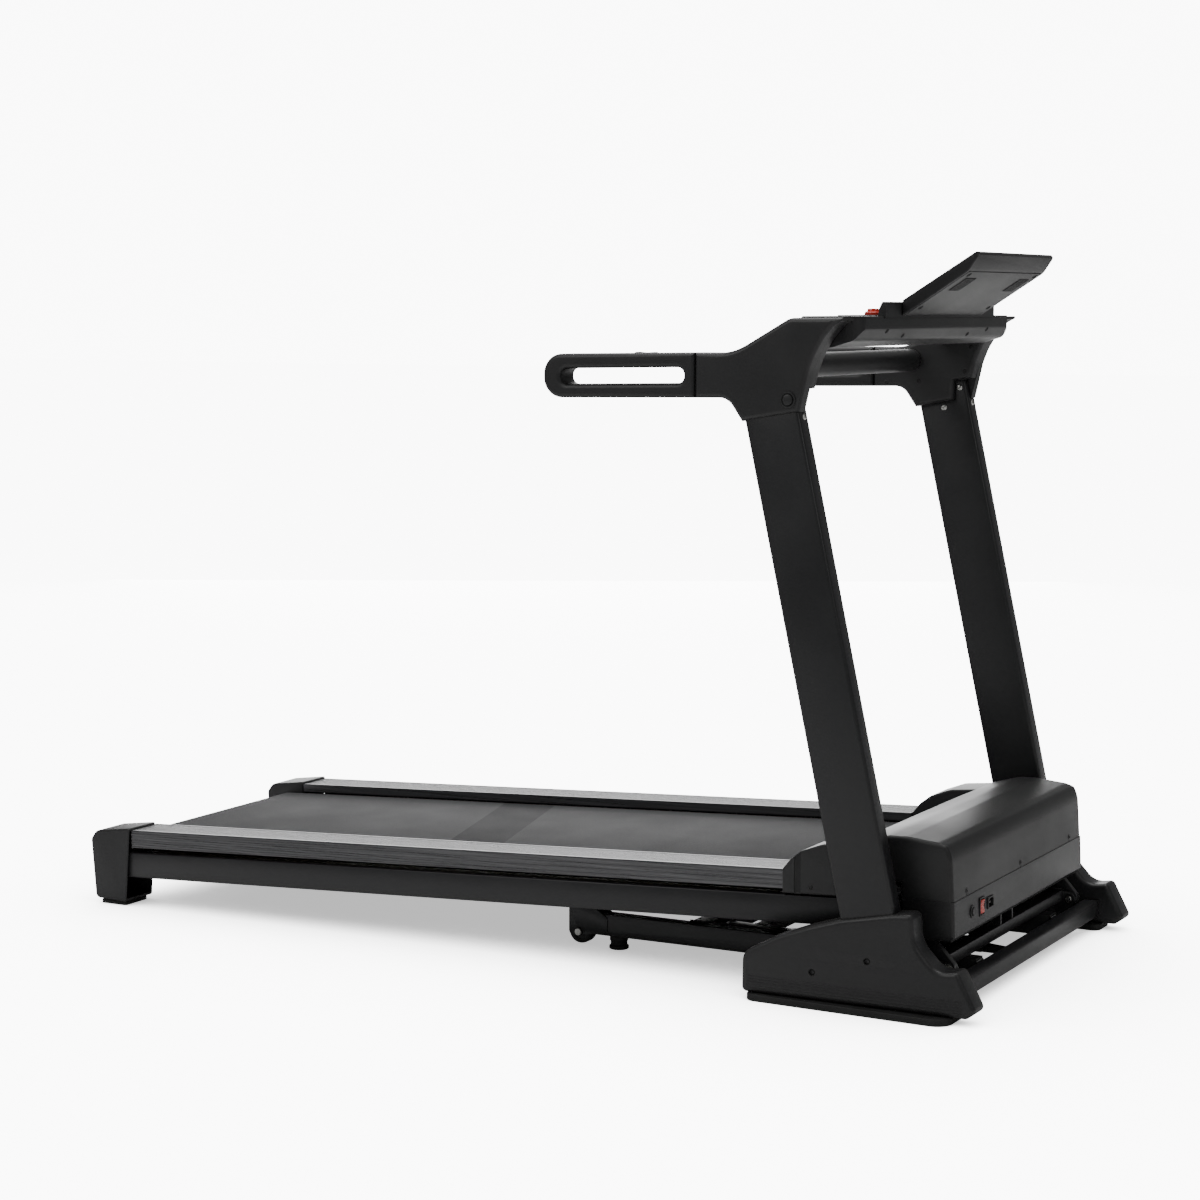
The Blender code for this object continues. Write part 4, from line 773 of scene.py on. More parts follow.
fit(softened("running_board", 0.0010), BOARD, "board", "deck", "running_board")
GRIP_COUNT, GRIP_HEIGHT, RIM = 19, 0.0007, 0.0055
FLUTE_COUNT, FLUTE_DEPTH, WALL = 4, 0.0009, 0.0040
for side, sign in SIDES:
    top = [(RAIL_OUT, RAIL_TOP - 0.0008), (RAIL_OUT - 0.0008, RAIL_TOP), (RAIL_OUT - RIM + 0.0008, RAIL_TOP)]
    pitch = (RAIL_OUT - RAIL_IN - 2.0 * RIM) / GRIP_COUNT
    for grip in range(GRIP_COUNT):
        edge = RAIL_OUT - RIM - grip * pitch
        top += [(edge, RAIL_TOP - 0.0012), (edge - 0.30 * pitch, RAIL_TOP - 0.0012),
                (edge - 0.45 * pitch, RAIL_TOP - 0.0012 + GRIP_HEIGHT),
                (edge - 0.85 * pitch, RAIL_TOP - 0.0012 + GRIP_HEIGHT)]
    top += [(RAIL_IN + RIM, RAIL_TOP - 0.0012), (RAIL_IN + RIM - 0.0008, RAIL_TOP),
            (RAIL_IN + 0.0008, RAIL_TOP),
            (RAIL_IN, RAIL_TOP - 0.0008)]
    inner = [(RAIL_IN, RAIL_TOP - 0.016), (RAIL_IN + 0.003, RAIL_TOP - 0.016),
             (RAIL_IN + 0.003, RAIL_TOP - WALL),
             (RAIL_OUT - WALL, RAIL_TOP - WALL), (RAIL_OUT - WALL, RAIL_FOOT), (RAIL_OUT, RAIL_FOOT)]
    flank = []
    step = (RAIL_TOP - RAIL_FOOT) / FLUTE_COUNT
    for flute in range(FLUTE_COUNT):
        low_edge = RAIL_FOOT + flute * step
        flank += [(RAIL_OUT, low_edge + 0.20 * step), (RAIL_OUT - FLUTE_DEPTH, low_edge + 0.32 * step),
                  (RAIL_OUT - FLUTE_DEPTH, low_edge + 0.68 * step), (RAIL_OUT, low_edge + 0.80 * step)]
    section = [(sign * y, w) for y, w in top + inner + flank]
    rail = plate(f"foot_rail_{side}", [section], 0.0006, RAIL_LENGTH, "YZ", DECK, edge=0.0)
    fit(rail, RAIL, "rail", "deck", f"side_rail_{side}")

# ------------------------------------------------------------ running belt and rollers
# A two-ply belt with a dark grey granular face runs round two crowned steel rollers.  It is joined by
# a slanting splice, which shows as a band a little darker than the rest.
BELT_HALF, BELT_THICK, ROLLER_R, ROLLER_W = 0.2500, 0.0022, 0.0225, -0.0478
REAR_ROLLER_U, FRONT_ROLLER_U = -0.0350, 1.4925


def granular_belt():
    """Dark grey PVC face with a fine cell grain, dark and pale specks and a slanting splice."""
    material, tree, shader = shader_of("granular_belt", 0.80)
    shader.inputs["Specular IOR Level"].default_value = 0.16
    place = tree.nodes.new("ShaderNodeTexCoord")
    cells = tree.nodes.new("ShaderNodeTexVoronoi")
    cells.inputs["Scale"].default_value = 620.0
    tree.links.new(place.outputs["Object"], cells.inputs["Vector"])
    across = tree.nodes.new("ShaderNodeMapping")
    across.inputs["Location"].default_value = (0.1976, 0.0, 0.0)
    across.inputs["Rotation"].default_value = (0.0, 0.0, math.radians(-15.95))
    tree.links.new(place.outputs["Object"], across.inputs["Vector"])
    apart = tree.nodes.new("ShaderNodeSeparateXYZ")
    tree.links.new(across.outputs["Vector"], apart.inputs["Vector"])
    reach = tree.nodes.new("ShaderNodeMath")
    reach.operation = "ABSOLUTE"
    tree.links.new(apart.outputs["X"], reach.inputs[0])
    band = spread(tree, reach.outputs[0], 1.0, 0.0, 0.0545, 0.0560)
    specks = spread(tree, grain(tree, 900.0, detail=3.0), 0.0, 1.0)
    plain = tint(tree, specks, (0.062, 0.062, 0.064), (0.118, 0.118, 0.120))
    mix = tree.nodes.new("ShaderNodeMix")
    mix.data_type = "RGBA"
    mix.blend_type = "MULTIPLY"
    fade = spread(tree, band, 0.0, 0.60, 0.0, 1.0)
    tree.links.new(fade, mix.inputs["Factor"])
    tree.links.new(plain, mix.inputs["A"])
    mix.inputs["B"].default_value = (0.45, 0.45, 0.46, 1.0)
    tree.links.new(mix.outputs["Result"], shader.inputs["Base Color"])
    tree.links.new(spread(tree, grain(tree, 9.0), 0.74, 0.86), shader.inputs["Roughness"])
    relief(tree, shader, cells.outputs["Distance"], 0.00025)
    return material


def loop_round(first, first_r, second, second_r, steps=32):
    """An outline that runs tangent round two circles; first_r is the larger."""
    first, second = Vector(first), Vector(second)
    line = second - first
    along = math.atan2(line.y, line.x)
    wrap = math.acos((first_r - second_r) / line.length)
    points = []
    for centre, radius, start, sweep in ((first, first_r, along + wrap, 2.0 * (math.pi - wrap)),
                                         (second, second_r, along - wrap, 2.0 * wrap)):
        for step in range(steps + 1):
            angle = start + sweep * step / steps
            points.append((centre.x + radius * math.cos(angle), centre.y + radius * math.sin(angle)))
    return points


REAR, FRONT = (REAR_ROLLER_U, ROLLER_W), (FRONT_ROLLER_U, ROLLER_W)
belt = plate("belt_loop", [loop_round(REAR, radius, FRONT, radius)
                           for radius in (ROLLER_R + 0.0005 + BELT_THICK, ROLLER_R + 0.0005)],
             -BELT_HALF, BELT_HALF, "XZ", DECK, edge=0.0004, steps=1)
fit(belt, granular_belt(), "belt", "deck", "running_belt")

SHAFT_HALF, BODY_HALF, CROWN = 0.2955, 0.2525, 0.0004
PULLEY_LOW, PULLEY_HIGH, BIG_PULLEY_R = -0.2860, -0.2640, 0.0260


def ribbed_pulley(low, high, radius, ribs=7, groove=0.0011):
    """Profile points of a poly-V pulley face, with rims."""
    points = [(radius + 0.0003, low), (radius + 0.0003, low + 0.0016)]
    pitch = (high - low - 0.0040) / ribs
    for rib in range(ribs):
        base = low + 0.0020 + rib * pitch
        points += [(radius - groove, base + 0.1 * pitch), (radius - 0.0003, base + 0.4 * pitch),
                   (radius - 0.0003, base + 0.6 * pitch), (radius - groove, base + 0.9 * pitch)]
    return points + [(radius + 0.0003, high - 0.0016), (radius + 0.0003, high)]


body = [(ROLLER_R - CROWN, -BODY_HALF), (ROLLER_R, -BODY_HALF * 0.4), (ROLLER_R, BODY_HALF * 0.4),
        (ROLLER_R - CROWN, BODY_HALF), (0.0070, BODY_HALF), (0.0070, SHAFT_HALF - 0.001),
        (0.0060, SHAFT_HALF),
        (0.0, SHAFT_HALF)]
tail = [(0.0, -SHAFT_HALF), (0.0060, -SHAFT_HALF), (0.0070, -SHAFT_HALF + 0.001)]
rear = turned("rear_roller_turned", tail + [(0.0070, -BODY_HALF)] + body,
              DECK @ Matrix.Translation((REAR_ROLLER_U, 0.0, ROLLER_W)))
fit(rear, ZINC, "steel", "rear_roller", "rear_roller")
front = turned("front_roller_turned", tail + [(0.0070, PULLEY_LOW)] +
               ribbed_pulley(PULLEY_LOW, PULLEY_HIGH, BIG_PULLEY_R - 0.0003)
               + [(0.0070, PULLEY_HIGH), (0.0070, -BODY_HALF)] + body,
               DECK @ Matrix.Translation((FRONT_ROLLER_U, 0.0, ROLLER_W)))
fit(front, ZINC, "steel", "front_roller", "front_roller")

# ------------------------------------------------------------ rear caps and their floor pads
# Hollow moulded caps close the deck's rear corners: soft rounded shoulders, a plain flat flank,
# and a rubber pad below that the deck stands on.
CAP_IN, CAP_OUT, CAP_WALL = 0.2545, 0.3395, 0.0028
CAP_SIDE = rounded([(0.0000, 0.0005, 0.004), (-0.0800, -0.0064, 0.016), (-0.0934, -0.0224, 0.014),
                    (-0.0885, -0.1381, 0.010), (-0.0164, -0.1438, 0.005)], 8)
CAP_HOLLOW = [(0.0500, -0.0030), (-0.0780, -0.0100), (-0.0890, -0.0240), (-0.0850, -0.1345),
              (0.0500, -0.1400)]
for side, sign in SIDES:
    cap = plate(f"cap_{side}", [CAP_SIDE], *span(sign, CAP_IN, CAP_OUT), "XZ", DECK, edge=0.0038, steps=4)
    shaft_hole = turned("cap_shaft_hole", [(0.0, -0.0050), (0.0090, -0.0050), (0.0090, 0.0050),
                                           (0.0, 0.0050)],
                        DECK @ Matrix.Translation((REAR_ROLLER_U, sign * 0.2550, ROLLER_W)))
    cut(cap, plate("cap_hollow", [CAP_HOLLOW], *span(sign, CAP_IN + CAP_WALL, CAP_OUT - CAP_WALL), "XZ",
                   DECK, edge=0.0005,
                   steps=0), shaft_hole)
    cap.name = f"rear_cap_moulded_{side}"
    fit(cap, MOULDING, "moulding", "deck", f"rear_cap_{side}")
    y0, y1 = span(sign, 0.2640, 0.3330)
    pad = plate(f"rear_pad_{side}", [rectangle(-1.6130, -1.5530, y0, y1, 0.006)], 0.0, 0.0078, "XY",
                edge=0.0015, steps=3)
    fit(pad, RUBBER, "rubber", "deck", f"deck_foot_{side}")

# ------------------------------------------------------------ front caps
# A ramped cap at the front of each rail runs up to the motor hood.  It is a thin moulding with soft
# outer shoulders, one screw in its flank, and a groove over ramp and flank; a dark rubber strip laid in the
# groove is painted shade.
FRONT_CAP = rounded([(-0.1687, 0.2112), (-0.1542, 0.2292, 0.020), (-0.1342, 0.2450, 0.030),
                     (-0.0945, 0.2600, 0.040),
                     (-0.0420, 0.2650), (-0.0420, 0.2020), (0.0350, 0.2036), (0.0350, 0.1775),
                     (-0.1687, 0.1695)], 6)
FRONT_CAP_HOLLOW = [(-0.1640, 0.2080), (-0.1500, 0.2265), (-0.1320, 0.2415), (-0.0935, 0.2565),
                    (-0.0450, 0.2615),
                    (-0.0450, 0.1990), (0.0600, 0.2006), (0.0600, 0.1000), (-0.1640, 0.1000)]
BOARD_TOP = ROLLER_W + ROLLER_R + 0.0002
for side, sign in SIDES:
    cap = plate(f"front_cap_{side}_shell", [FRONT_CAP], *span(sign, RAIL_IN, CAP_OUT), "XZ", edge=0.0030,
                steps=4)
    cut(cap, cutter("cap_inside", [FRONT_CAP_HOLLOW], *span(sign, RAIL_IN + CAP_WALL, CAP_OUT - CAP_WALL),
                    "XZ"),
        cutter("roller_room", [rectangle(-0.1640, 0.0600, 0.1000, 0.1830)],
               *span(sign, RAIL_IN - 0.01, RAIL_IN + 0.0040),
               "XZ"),
        cutter("board_end", [rectangle(1.3000, 1.4600, *span(sign, 0.2000, 0.2710))], BOARD_TOP - 0.0300,
               BOARD_TOP + 0.0003, "XY", DECK),
        cutter("belt_slot", [rectangle(-0.0500, 0.0300, *span(sign, 0.2610, 0.2890))], 0.1900, 0.2300, "XY"),
        cutter("ramp_groove", [[(-0.1465, 0.2341), (-0.1345, 0.2436), (-0.1345, 0.3000), (-0.1465, 0.3000)]],
               *span(sign, RAIL_IN - 0.01, CAP_OUT + 0.01), "XZ"),
        cutter("flank_groove", [rectangle(-0.1465, -0.1345, 0.1000, 0.3000)],
               *span(sign, CAP_OUT - 0.0014, CAP_OUT + 0.01), "XZ"))
    # Dark rubber strips in the grooves are painted shade: the grooves' darkness, not a real band on the cap.
    band = [plate("flank_groove_shade", [[(-0.1463, 0.1730), (-0.1347, 0.1734), (-0.1347, 0.2424),
                                  (-0.1463, 0.2330)]],
                  *span(sign, CAP_OUT - 0.0012, CAP_OUT - 0.0007), "XZ", edge=0.0),
            plate("ramp_groove_shade", [[(-0.1463, 0.2336), (-0.1347, 0.2428), (-0.1347, 0.2440),
                                 (-0.1463, 0.2348)]],
                  *span(sign, RAIL_IN + 0.0008, CAP_OUT - 0.0007), "XZ", edge=0.0)]
    fit(merged(f"front_cap_groove_shade_{side}", *band), RUBBER, "rubber", "deck")
    fit(cap, MOULDING, "moulding", "deck", f"front_cap_{side}")
    screws(f"front_cap_screws_{side}", "deck", [((-0.1167, sign * CAP_OUT, 0.1845), (0.0, sign, 0.0))],
           0.0042, 0.0016,
           coat=MOULDING, slot="moulding")

# ------------------------------------------------------------ motor hood
# One arched moulding covers the drive.  Its ends have a broad soft edge; three screws in short slots
# hold it to the apron along a fine seam.
HOOD_HALF, HOOD_WALL, HOOD_SEAM = 0.3304, 0.0030, 0.1822
HOOD_SCREWS = (-0.2661, -0.0008, 0.2636)
HOOD_FRONT = rounded([(0.1350, 0.1600), (0.0400, 0.1600), (0.0400, 0.2045), (-0.0417, 0.2025),
                      (-0.0417, 0.2660),
                      (-0.0350, 0.2690, 0.080), (0.0150, 0.2835, 0.080), (0.0500, 0.2845, 0.060),
                      (0.1060, 0.2790, 0.040),
                      (0.1215, 0.2740, 0.012), (0.1290, 0.2560, 0.060)], 8)
HOOD_REAR = rounded([(-0.0300, 0.2028), (-0.1450, 0.2000), (-0.1450, 0.2050), (-0.1150, 0.2270, 0.050),
                     (-0.0800, 0.2480, 0.080), (-0.0350, 0.2690), (-0.0300, 0.2704)], 8)
HOOD_INSIDE = [(0.1315, 0.1700), (-0.1330, 0.1700), (-0.1330, 0.2105), (-0.1130, 0.2245), (-0.0790, 0.2450),
               (-0.0340, 0.2660),
               (0.0155, 0.2800), (0.0500, 0.2810), (0.1040, 0.2758), (0.1170, 0.2715), (0.1255, 0.2550)]
HOOD_END_INSIDE = [(0.1315, 0.1700), (-0.0385, 0.1700), (-0.0385, 0.2635), (0.0155, 0.2790),
                   (0.0500, 0.2800),
                   (0.1030, 0.2748), (0.1160, 0.2705), (0.1245, 0.2550)]
hood = plate("hood_shell", [HOOD_FRONT], -HOOD_HALF, HOOD_HALF, "XZ", edge=0.0075, steps=5)
hood_rear = plate("hood_rear", [HOOD_REAR], -(RAIL_IN - 0.0006), RAIL_IN - 0.0006, "XZ", edge=0.0, steps=0)
combined(hood, hood_rear, "UNION")
discard(hood_rear)
cut(hood, cutter("hood_inside", [HOOD_INSIDE], -(RAIL_IN - 0.0040), RAIL_IN - 0.0040, "XZ"))
for side, sign in SIDES:
    cut(hood, cutter("hood_end_inside", [HOOD_END_INSIDE], *span(sign, RAIL_IN - 0.0060, HOOD_HALF - 0.0055),
                     "XZ"))
cut(hood, cutter("below_seam", [rectangle(-0.3000, 0.3000, -0.4000, 0.4000)], 0.1000, HOOD_SEAM, "XY"),
    *(cutter("screw_slot", [rectangle(y - 0.0009, y + 0.0009, HOOD_SEAM - 0.0020, 0.1965, 0.0008)], 0.1318,
             0.1500, "YZ") for y in HOOD_SCREWS))
fit(hood, HOOD, "moulding", "deck", "motor_hood")
screws("hood_screws", "deck", [((0.1330, y, 0.1905), (1.0, 0.0, 0.03)) for y in HOOD_SCREWS], 0.0046, 0.0016,
       coat=HOOD, slot="moulding")

# ------------------------------------------------------------ apron with the mains panel
# The apron closes the front under the hood.  Three holes on the walker's right hold the breaker button
# and the rocker switch, each in a small bezel, and the appliance inlet.
SWITCH_Y, INLET_Y, BREAKER_Y, PANEL_Z = -0.1998, -0.1600, -0.2450, 0.1520
APRON_SIDE = rounded([(0.0420, 0.1900), (0.1344, 0.1900), (0.1370, 0.1230, 0.0055), (0.1300, 0.1150),
                      (0.0420, 0.1150)])
apron = plate("apron_shell", [APRON_SIDE], -HOOD_HALF, HOOD_HALF, "XZ", edge=0.0050, steps=4)
cut(apron, cutter("apron_inside", [rectangle(-0.1000, 0.1300, -(HOOD_HALF - HOOD_WALL),
                                             HOOD_HALF - HOOD_WALL)], 0.05,
                  0.25, "XY"),
    cutter("above_seam", [rectangle(-0.3000, 0.3000, -0.4000, 0.4000)], HOOD_SEAM - 0.0003, 0.3000, "XY"),
    cutter("switch_hole", [rectangle(SWITCH_Y - 0.0095, SWITCH_Y + 0.0095, PANEL_Z - 0.0135,
                                     PANEL_Z + 0.0135, 0.0010)],
           0.10, 0.16, "YZ"),
    cutter("inlet_hole", [rectangle(INLET_Y - 0.0143, INLET_Y + 0.0143, PANEL_Z - 0.0103, PANEL_Z + 0.0103,
                                    0.0020)],
           0.10, 0.16, "YZ"),
    turned("breaker_hole", [(0.0, 0.10), (0.0078, 0.10), (0.0078, 0.16), (0.0, 0.16)],
           at(0.0, BREAKER_Y, PANEL_Z), "X"))
fit(apron, MOULDING, "moulding", "deck", "motor_apron")

switch = plate("switch_rocker", [rounded([(-0.0130, -0.0070), (-0.0130, 0.0070), (0.0060, 0.0120, 0.0012),
                                          (0.0040, 0.0, 0.012), (0.0060, -0.0120, 0.0012)], 6)],
               -0.0085, 0.0085, "XZ", at(0.1330, SWITCH_Y, PANEL_Z), edge=0.0006)


fit(switch, RED, "red_key", "power_switch", "power_switch")
bezels = [plate("switch_bezel", [rectangle(SWITCH_Y - 0.0120, SWITCH_Y + 0.0120, PANEL_Z - 0.0160,
                                           PANEL_Z + 0.0160, 0.0020),
                                 rectangle(SWITCH_Y - 0.0093, SWITCH_Y + 0.0093, PANEL_Z - 0.0133,
                                           PANEL_Z + 0.0133, 0.0010)],
                0.1350, 0.1378, "YZ", edge=0.0006),
          plate("breaker_collar", [circle(BREAKER_Y, PANEL_Z, 0.0112), circle(BREAKER_Y, PANEL_Z, 0.0077)],
                0.1350, 0.1380, "YZ", edge=0.0006)]
fit(merged("panel_bezels", *bezels), MOULDING, "moulding", "deck")
inlet = plate("inlet_body", [rectangle(INLET_Y - 0.0140, INLET_Y + 0.0140, PANEL_Z - 0.0100,
                                       PANEL_Z + 0.0100, 0.0020),
                             rounded([(INLET_Y - 0.0115, PANEL_Z - 0.0075, 0.001),
                                      (INLET_Y + 0.0115, PANEL_Z - 0.0075, 0.001),
                                      (INLET_Y + 0.0115, PANEL_Z + 0.0040, 0.001),
                                      (INLET_Y + 0.0075, PANEL_Z + 0.0075, 0.001),
                                      (INLET_Y - 0.0075, PANEL_Z + 0.0075, 0.001),
                                      (INLET_Y - 0.0115, PANEL_Z + 0.0040, 0.001)])],
              0.1180, 0.1385, "YZ", edge=0.0005)
back = plate("inlet_floor", [rectangle(INLET_Y - 0.0140, INLET_Y + 0.0140, PANEL_Z - 0.0100,
                                       PANEL_Z + 0.0100, 0.0020)],
             0.1120, 0.1179, "YZ", edge=0.0002)
fit(merged("mains_inlet", inlet, back), MOULDING, "moulding", "deck", "power_inlet")
pins = [plate(f"inlet_pin_{n}", [rectangle(INLET_Y + y - 0.0010, INLET_Y + y + 0.0010, PANEL_Z + z - 0.0020,
                                           PANEL_Z + z + 0.0020,
                                           0.0006)], 0.1180, 0.1340, "YZ", edge=0.0003)
        for n, (y, z) in enumerate(((-0.0070, -0.0015), (0.0, 0.0025), (0.0070, -0.0015)))]
fit(merged("inlet_pins", *pins), ZINC, "steel", "deck")
fit(turned("breaker_knob", [(0.0, 0.1180), (0.0066, 0.1180), (0.0072, 0.1186), (0.0072, 0.1386),
                            (0.0062, 0.1400),
                            (0.0045, 0.1396), (0.0, 0.1394)], at(0.0, BREAKER_Y, PANEL_Z), "X"),
    MOULDING, "moulding", "breaker_button", "breaker_button")

# ------------------------------------------------------------ drive under the hood
# A finned direct-current motor turns the front roller through a ribbed belt; the controller is a box
# with a finned heat sink.  All of it is fixed to the deck.
MOTOR_X, MOTOR_Z = 0.0720, 0.1950
motor = turned("motor_can", [(0.0, -0.2500), (0.0120, -0.2500), (0.0130, -0.2490), (0.0380, -0.2470),
                             (0.0415, -0.2450),
                             (0.0415, -0.2300), (0.0405, -0.2290), (0.0405, -0.1000), (0.0415, -0.0990),
                             (0.0415, -0.0850),
                             (0.0380, -0.0820), (0.0150, -0.0800), (0.0, -0.0800)],
                             at(MOTOR_X, 0.0, MOTOR_Z), steps=64)
fin = plate("can_fin", [rectangle(-0.0006, 0.0006, 0.0400, 0.0430, 0.0005)], -0.2280, -0.1010, "XZ",
            Matrix.Identity(4),
            edge=0.0003, steps=1)


def ring_tree():
    """Copies of the mesh given, turned about the Y axis at even angles."""
    tree, start, end = geometry_tree("repeat_round")
    input_of(tree, "count", "NodeSocketInt", 24)
    link = tree.links.new
    spots = tree.nodes.new("GeometryNodeMeshLine")
    spots.mode = "OFFSET"
    spots.inputs["Offset"].default_value = (0.0, 0.0, 0.0)
    link(start.outputs["count"], spots.inputs["Count"])
    number = tree.nodes.new("GeometryNodeInputIndex")
    share = tree.nodes.new("ShaderNodeMath")
    share.operation = "DIVIDE"
    link(number.outputs[0], share.inputs[0])
    link(start.outputs["count"], share.inputs[1])
    angle = tree.nodes.new("ShaderNodeMath")
    angle.operation = "MULTIPLY"
    angle.inputs[1].default_value = 2.0 * math.pi
    link(share.outputs[0], angle.inputs[0])
    turn = tree.nodes.new("ShaderNodeCombineXYZ")
    link(angle.outputs[0], turn.inputs["Y"])
    copies = tree.nodes.new("GeometryNodeInstanceOnPoints")
    link(spots.outputs["Mesh"], copies.inputs["Points"])
    link(start.outputs["Geometry"], copies.inputs["Instance"])
    link(turn.outputs[0], copies.inputs["Rotation"])
    return realised(tree, copies, end, POWDER)


fin_mesh = fin.data
discard(fin)
fins = grown("motor_fins", ring_tree(), fin_mesh, at(MOTOR_X, 0.0, MOTOR_Z), count=36)
fit(merged("finned_motor", motor, fins), POWDER, "powder_coat", "deck", "drive_motor")
MOTOR_PULLEY_R = 0.0170
fit(turned("motor_pulley_turned", [(0.0, PULLEY_LOW)] + ribbed_pulley(PULLEY_LOW, PULLEY_HIGH,
                                                                      MOTOR_PULLEY_R - 0.0003)
           + [(0.0060, PULLEY_HIGH), (0.0060, -0.2610), (0.0, -0.2610)], at(MOTOR_X, 0.0, MOTOR_Z)),
    ZINC, "steel", "motor_pulley", "motor_pulley")
roller_place = DECK @ Vector((FRONT_ROLLER_U, 0.0, ROLLER_W)) - Vector((FOOT_X, 0.0, 0.0))
fit(plate("ribbed_belt", [loop_round((roller_place.x, roller_place.z), BIG_PULLEY_R + lift,
                                     (MOTOR_X, MOTOR_Z),
                                     MOTOR_PULLEY_R + lift) for lift in (0.0030, 0.0008)],
          PULLEY_LOW + 0.003, PULLEY_HIGH - 0.003, "XZ", edge=0.0003, steps=1), RUBBER, "rubber", "deck",
          "drive_belt")
tray = plate("controller_tray", [rectangle(0.0100, 0.1150, 0.0800, 0.2500, 0.003)], 0.1560, 0.1900, "XY")
sink_fin = plate("sink_fin", [rectangle(0.0120, 0.1130, 0.0820, 0.0832, 0.0004)], 0.1900, 0.2200, "XY",
                 edge=0.0003, steps=1)
fit(merged("motor_controller_box", tray, repeated("sink_fins", sink_fin, 18, (0.0, 0.0097, 0.0))), MOULDING,
    "moulding", "deck",
    "motor_controller")

# ------------------------------------------------------------ handles and their rocker keys
# Each handle is a flat slotted grip, softly rounded all round, with a rocker key let into its top:
# speed on the right, incline on the left.
ARM_IN, ARM_SPLIT, ARM_OUT = 0.3592, 0.3868, 0.4144
HANDLE_JOIN, HANDLE_END = -0.3027, -0.5894
HANDLE_SIDE = rounded([(HANDLE_JOIN - 0.0003, 1.0766), (HANDLE_END, 1.0715, 0.034),
                       (HANDLE_END, 0.9972, 0.034),
                       (HANDLE_JOIN - 0.0003, 1.0020)], 14)
HANDLE_SLOT = rounded([(-0.5560, 1.0205, 0.0125), (-0.3240, 1.0255, 0.0125), (-0.3240, 1.0520, 0.0125),
                       (-0.5560, 1.0470, 0.0125)], 8)
ROCKER_X, ROCKER_HALF = -0.4050, 0.0180
for side, sign in SIDES:
    handle = plate(f"slotted_grip_{side}", [HANDLE_SIDE, HANDLE_SLOT], *span(sign, ARM_IN, ARM_OUT), "XZ",
                   edge=0.0080, steps=5)
    y0, y1 = span(sign, 0.3774, 0.3962)
    cut(handle, cutter("rocker_well", [rectangle(ROCKER_X - ROCKER_HALF - 0.0008,
                                                 ROCKER_X + ROCKER_HALF + 0.0008, y0, y1,
                                                 0.0012)], 1.0650, 1.0900, "XY"))
    fit(handle, GRIP, "moulding", "base", f"handle_{side}")
    y0, y1 = span(sign, 0.3780, 0.3956)
    rocker = plate(f"rocker_{side}", [rounded([(-ROCKER_HALF, 0.0024), (0.0, -0.0030), (ROCKER_HALF, 0.0024),
                                               (ROCKER_HALF, 0.0065, 0.0020), (0.0, 0.0052, 0.030),
                                               (-ROCKER_HALF, 0.0065, 0.0020)], 5)], y0, y1, "XZ",
                                               at(ROCKER_X, 0.0, 1.0700),
                   edge=0.0012, steps=3)
    fit(rocker, RUBBER, "rubber", f"handle_rocker_{side}", f"handle_rocker_{side}")

# ------------------------------------------------------------ arm shells
# Two mouldings clamp round the top of each upright and carry the handle and the console.  They meet
# on a fine seam along the arm's middle; screws go in from the inner side.
ARM_TOP = [(-0.0300, 1.1355), (-0.1330, 1.1345, 0.030), (-0.2344, 1.0768, 0.100), (HANDLE_JOIN, 1.0766)]
ARM_REAR = [(HANDLE_JOIN, 1.0020), (-0.2440, 1.0030, 0.030), (-0.2178, 0.9650)]
ARM_RIM = [(-0.1059, 1.0216, 0.08), (-0.0996, 1.0495, 0.08), (-0.0897, 1.0742, 0.08),
           (-0.0734, 1.1020, 0.08), (-0.0536, 1.1235)]
OUTER_SIDE = rounded(ARM_TOP + ARM_REAR + [(-0.1150, 0.9822)] + ARM_RIM, 8)
INNER_SIDE = rounded(ARM_TOP + ARM_REAR + [(-0.1427, 0.9789), (-0.1421, 1.0148), (-0.1070, 1.0200)]
                     + ARM_RIM[1:], 8)
PLUG = [(0.0, -0.0040), (0.0132, -0.0040), (0.0132, 0.0016), (0.0124, 0.0022), (0.0108, 0.0022),
        (0.0100, 0.0008),
        (0.0092, 0.0006), (0.0086, 0.0030), (0.0072, 0.0036), (0.0, 0.0038)]
FACE_BOLT_UP, FACE_BOLT_Y = 0.9763, 0.3900
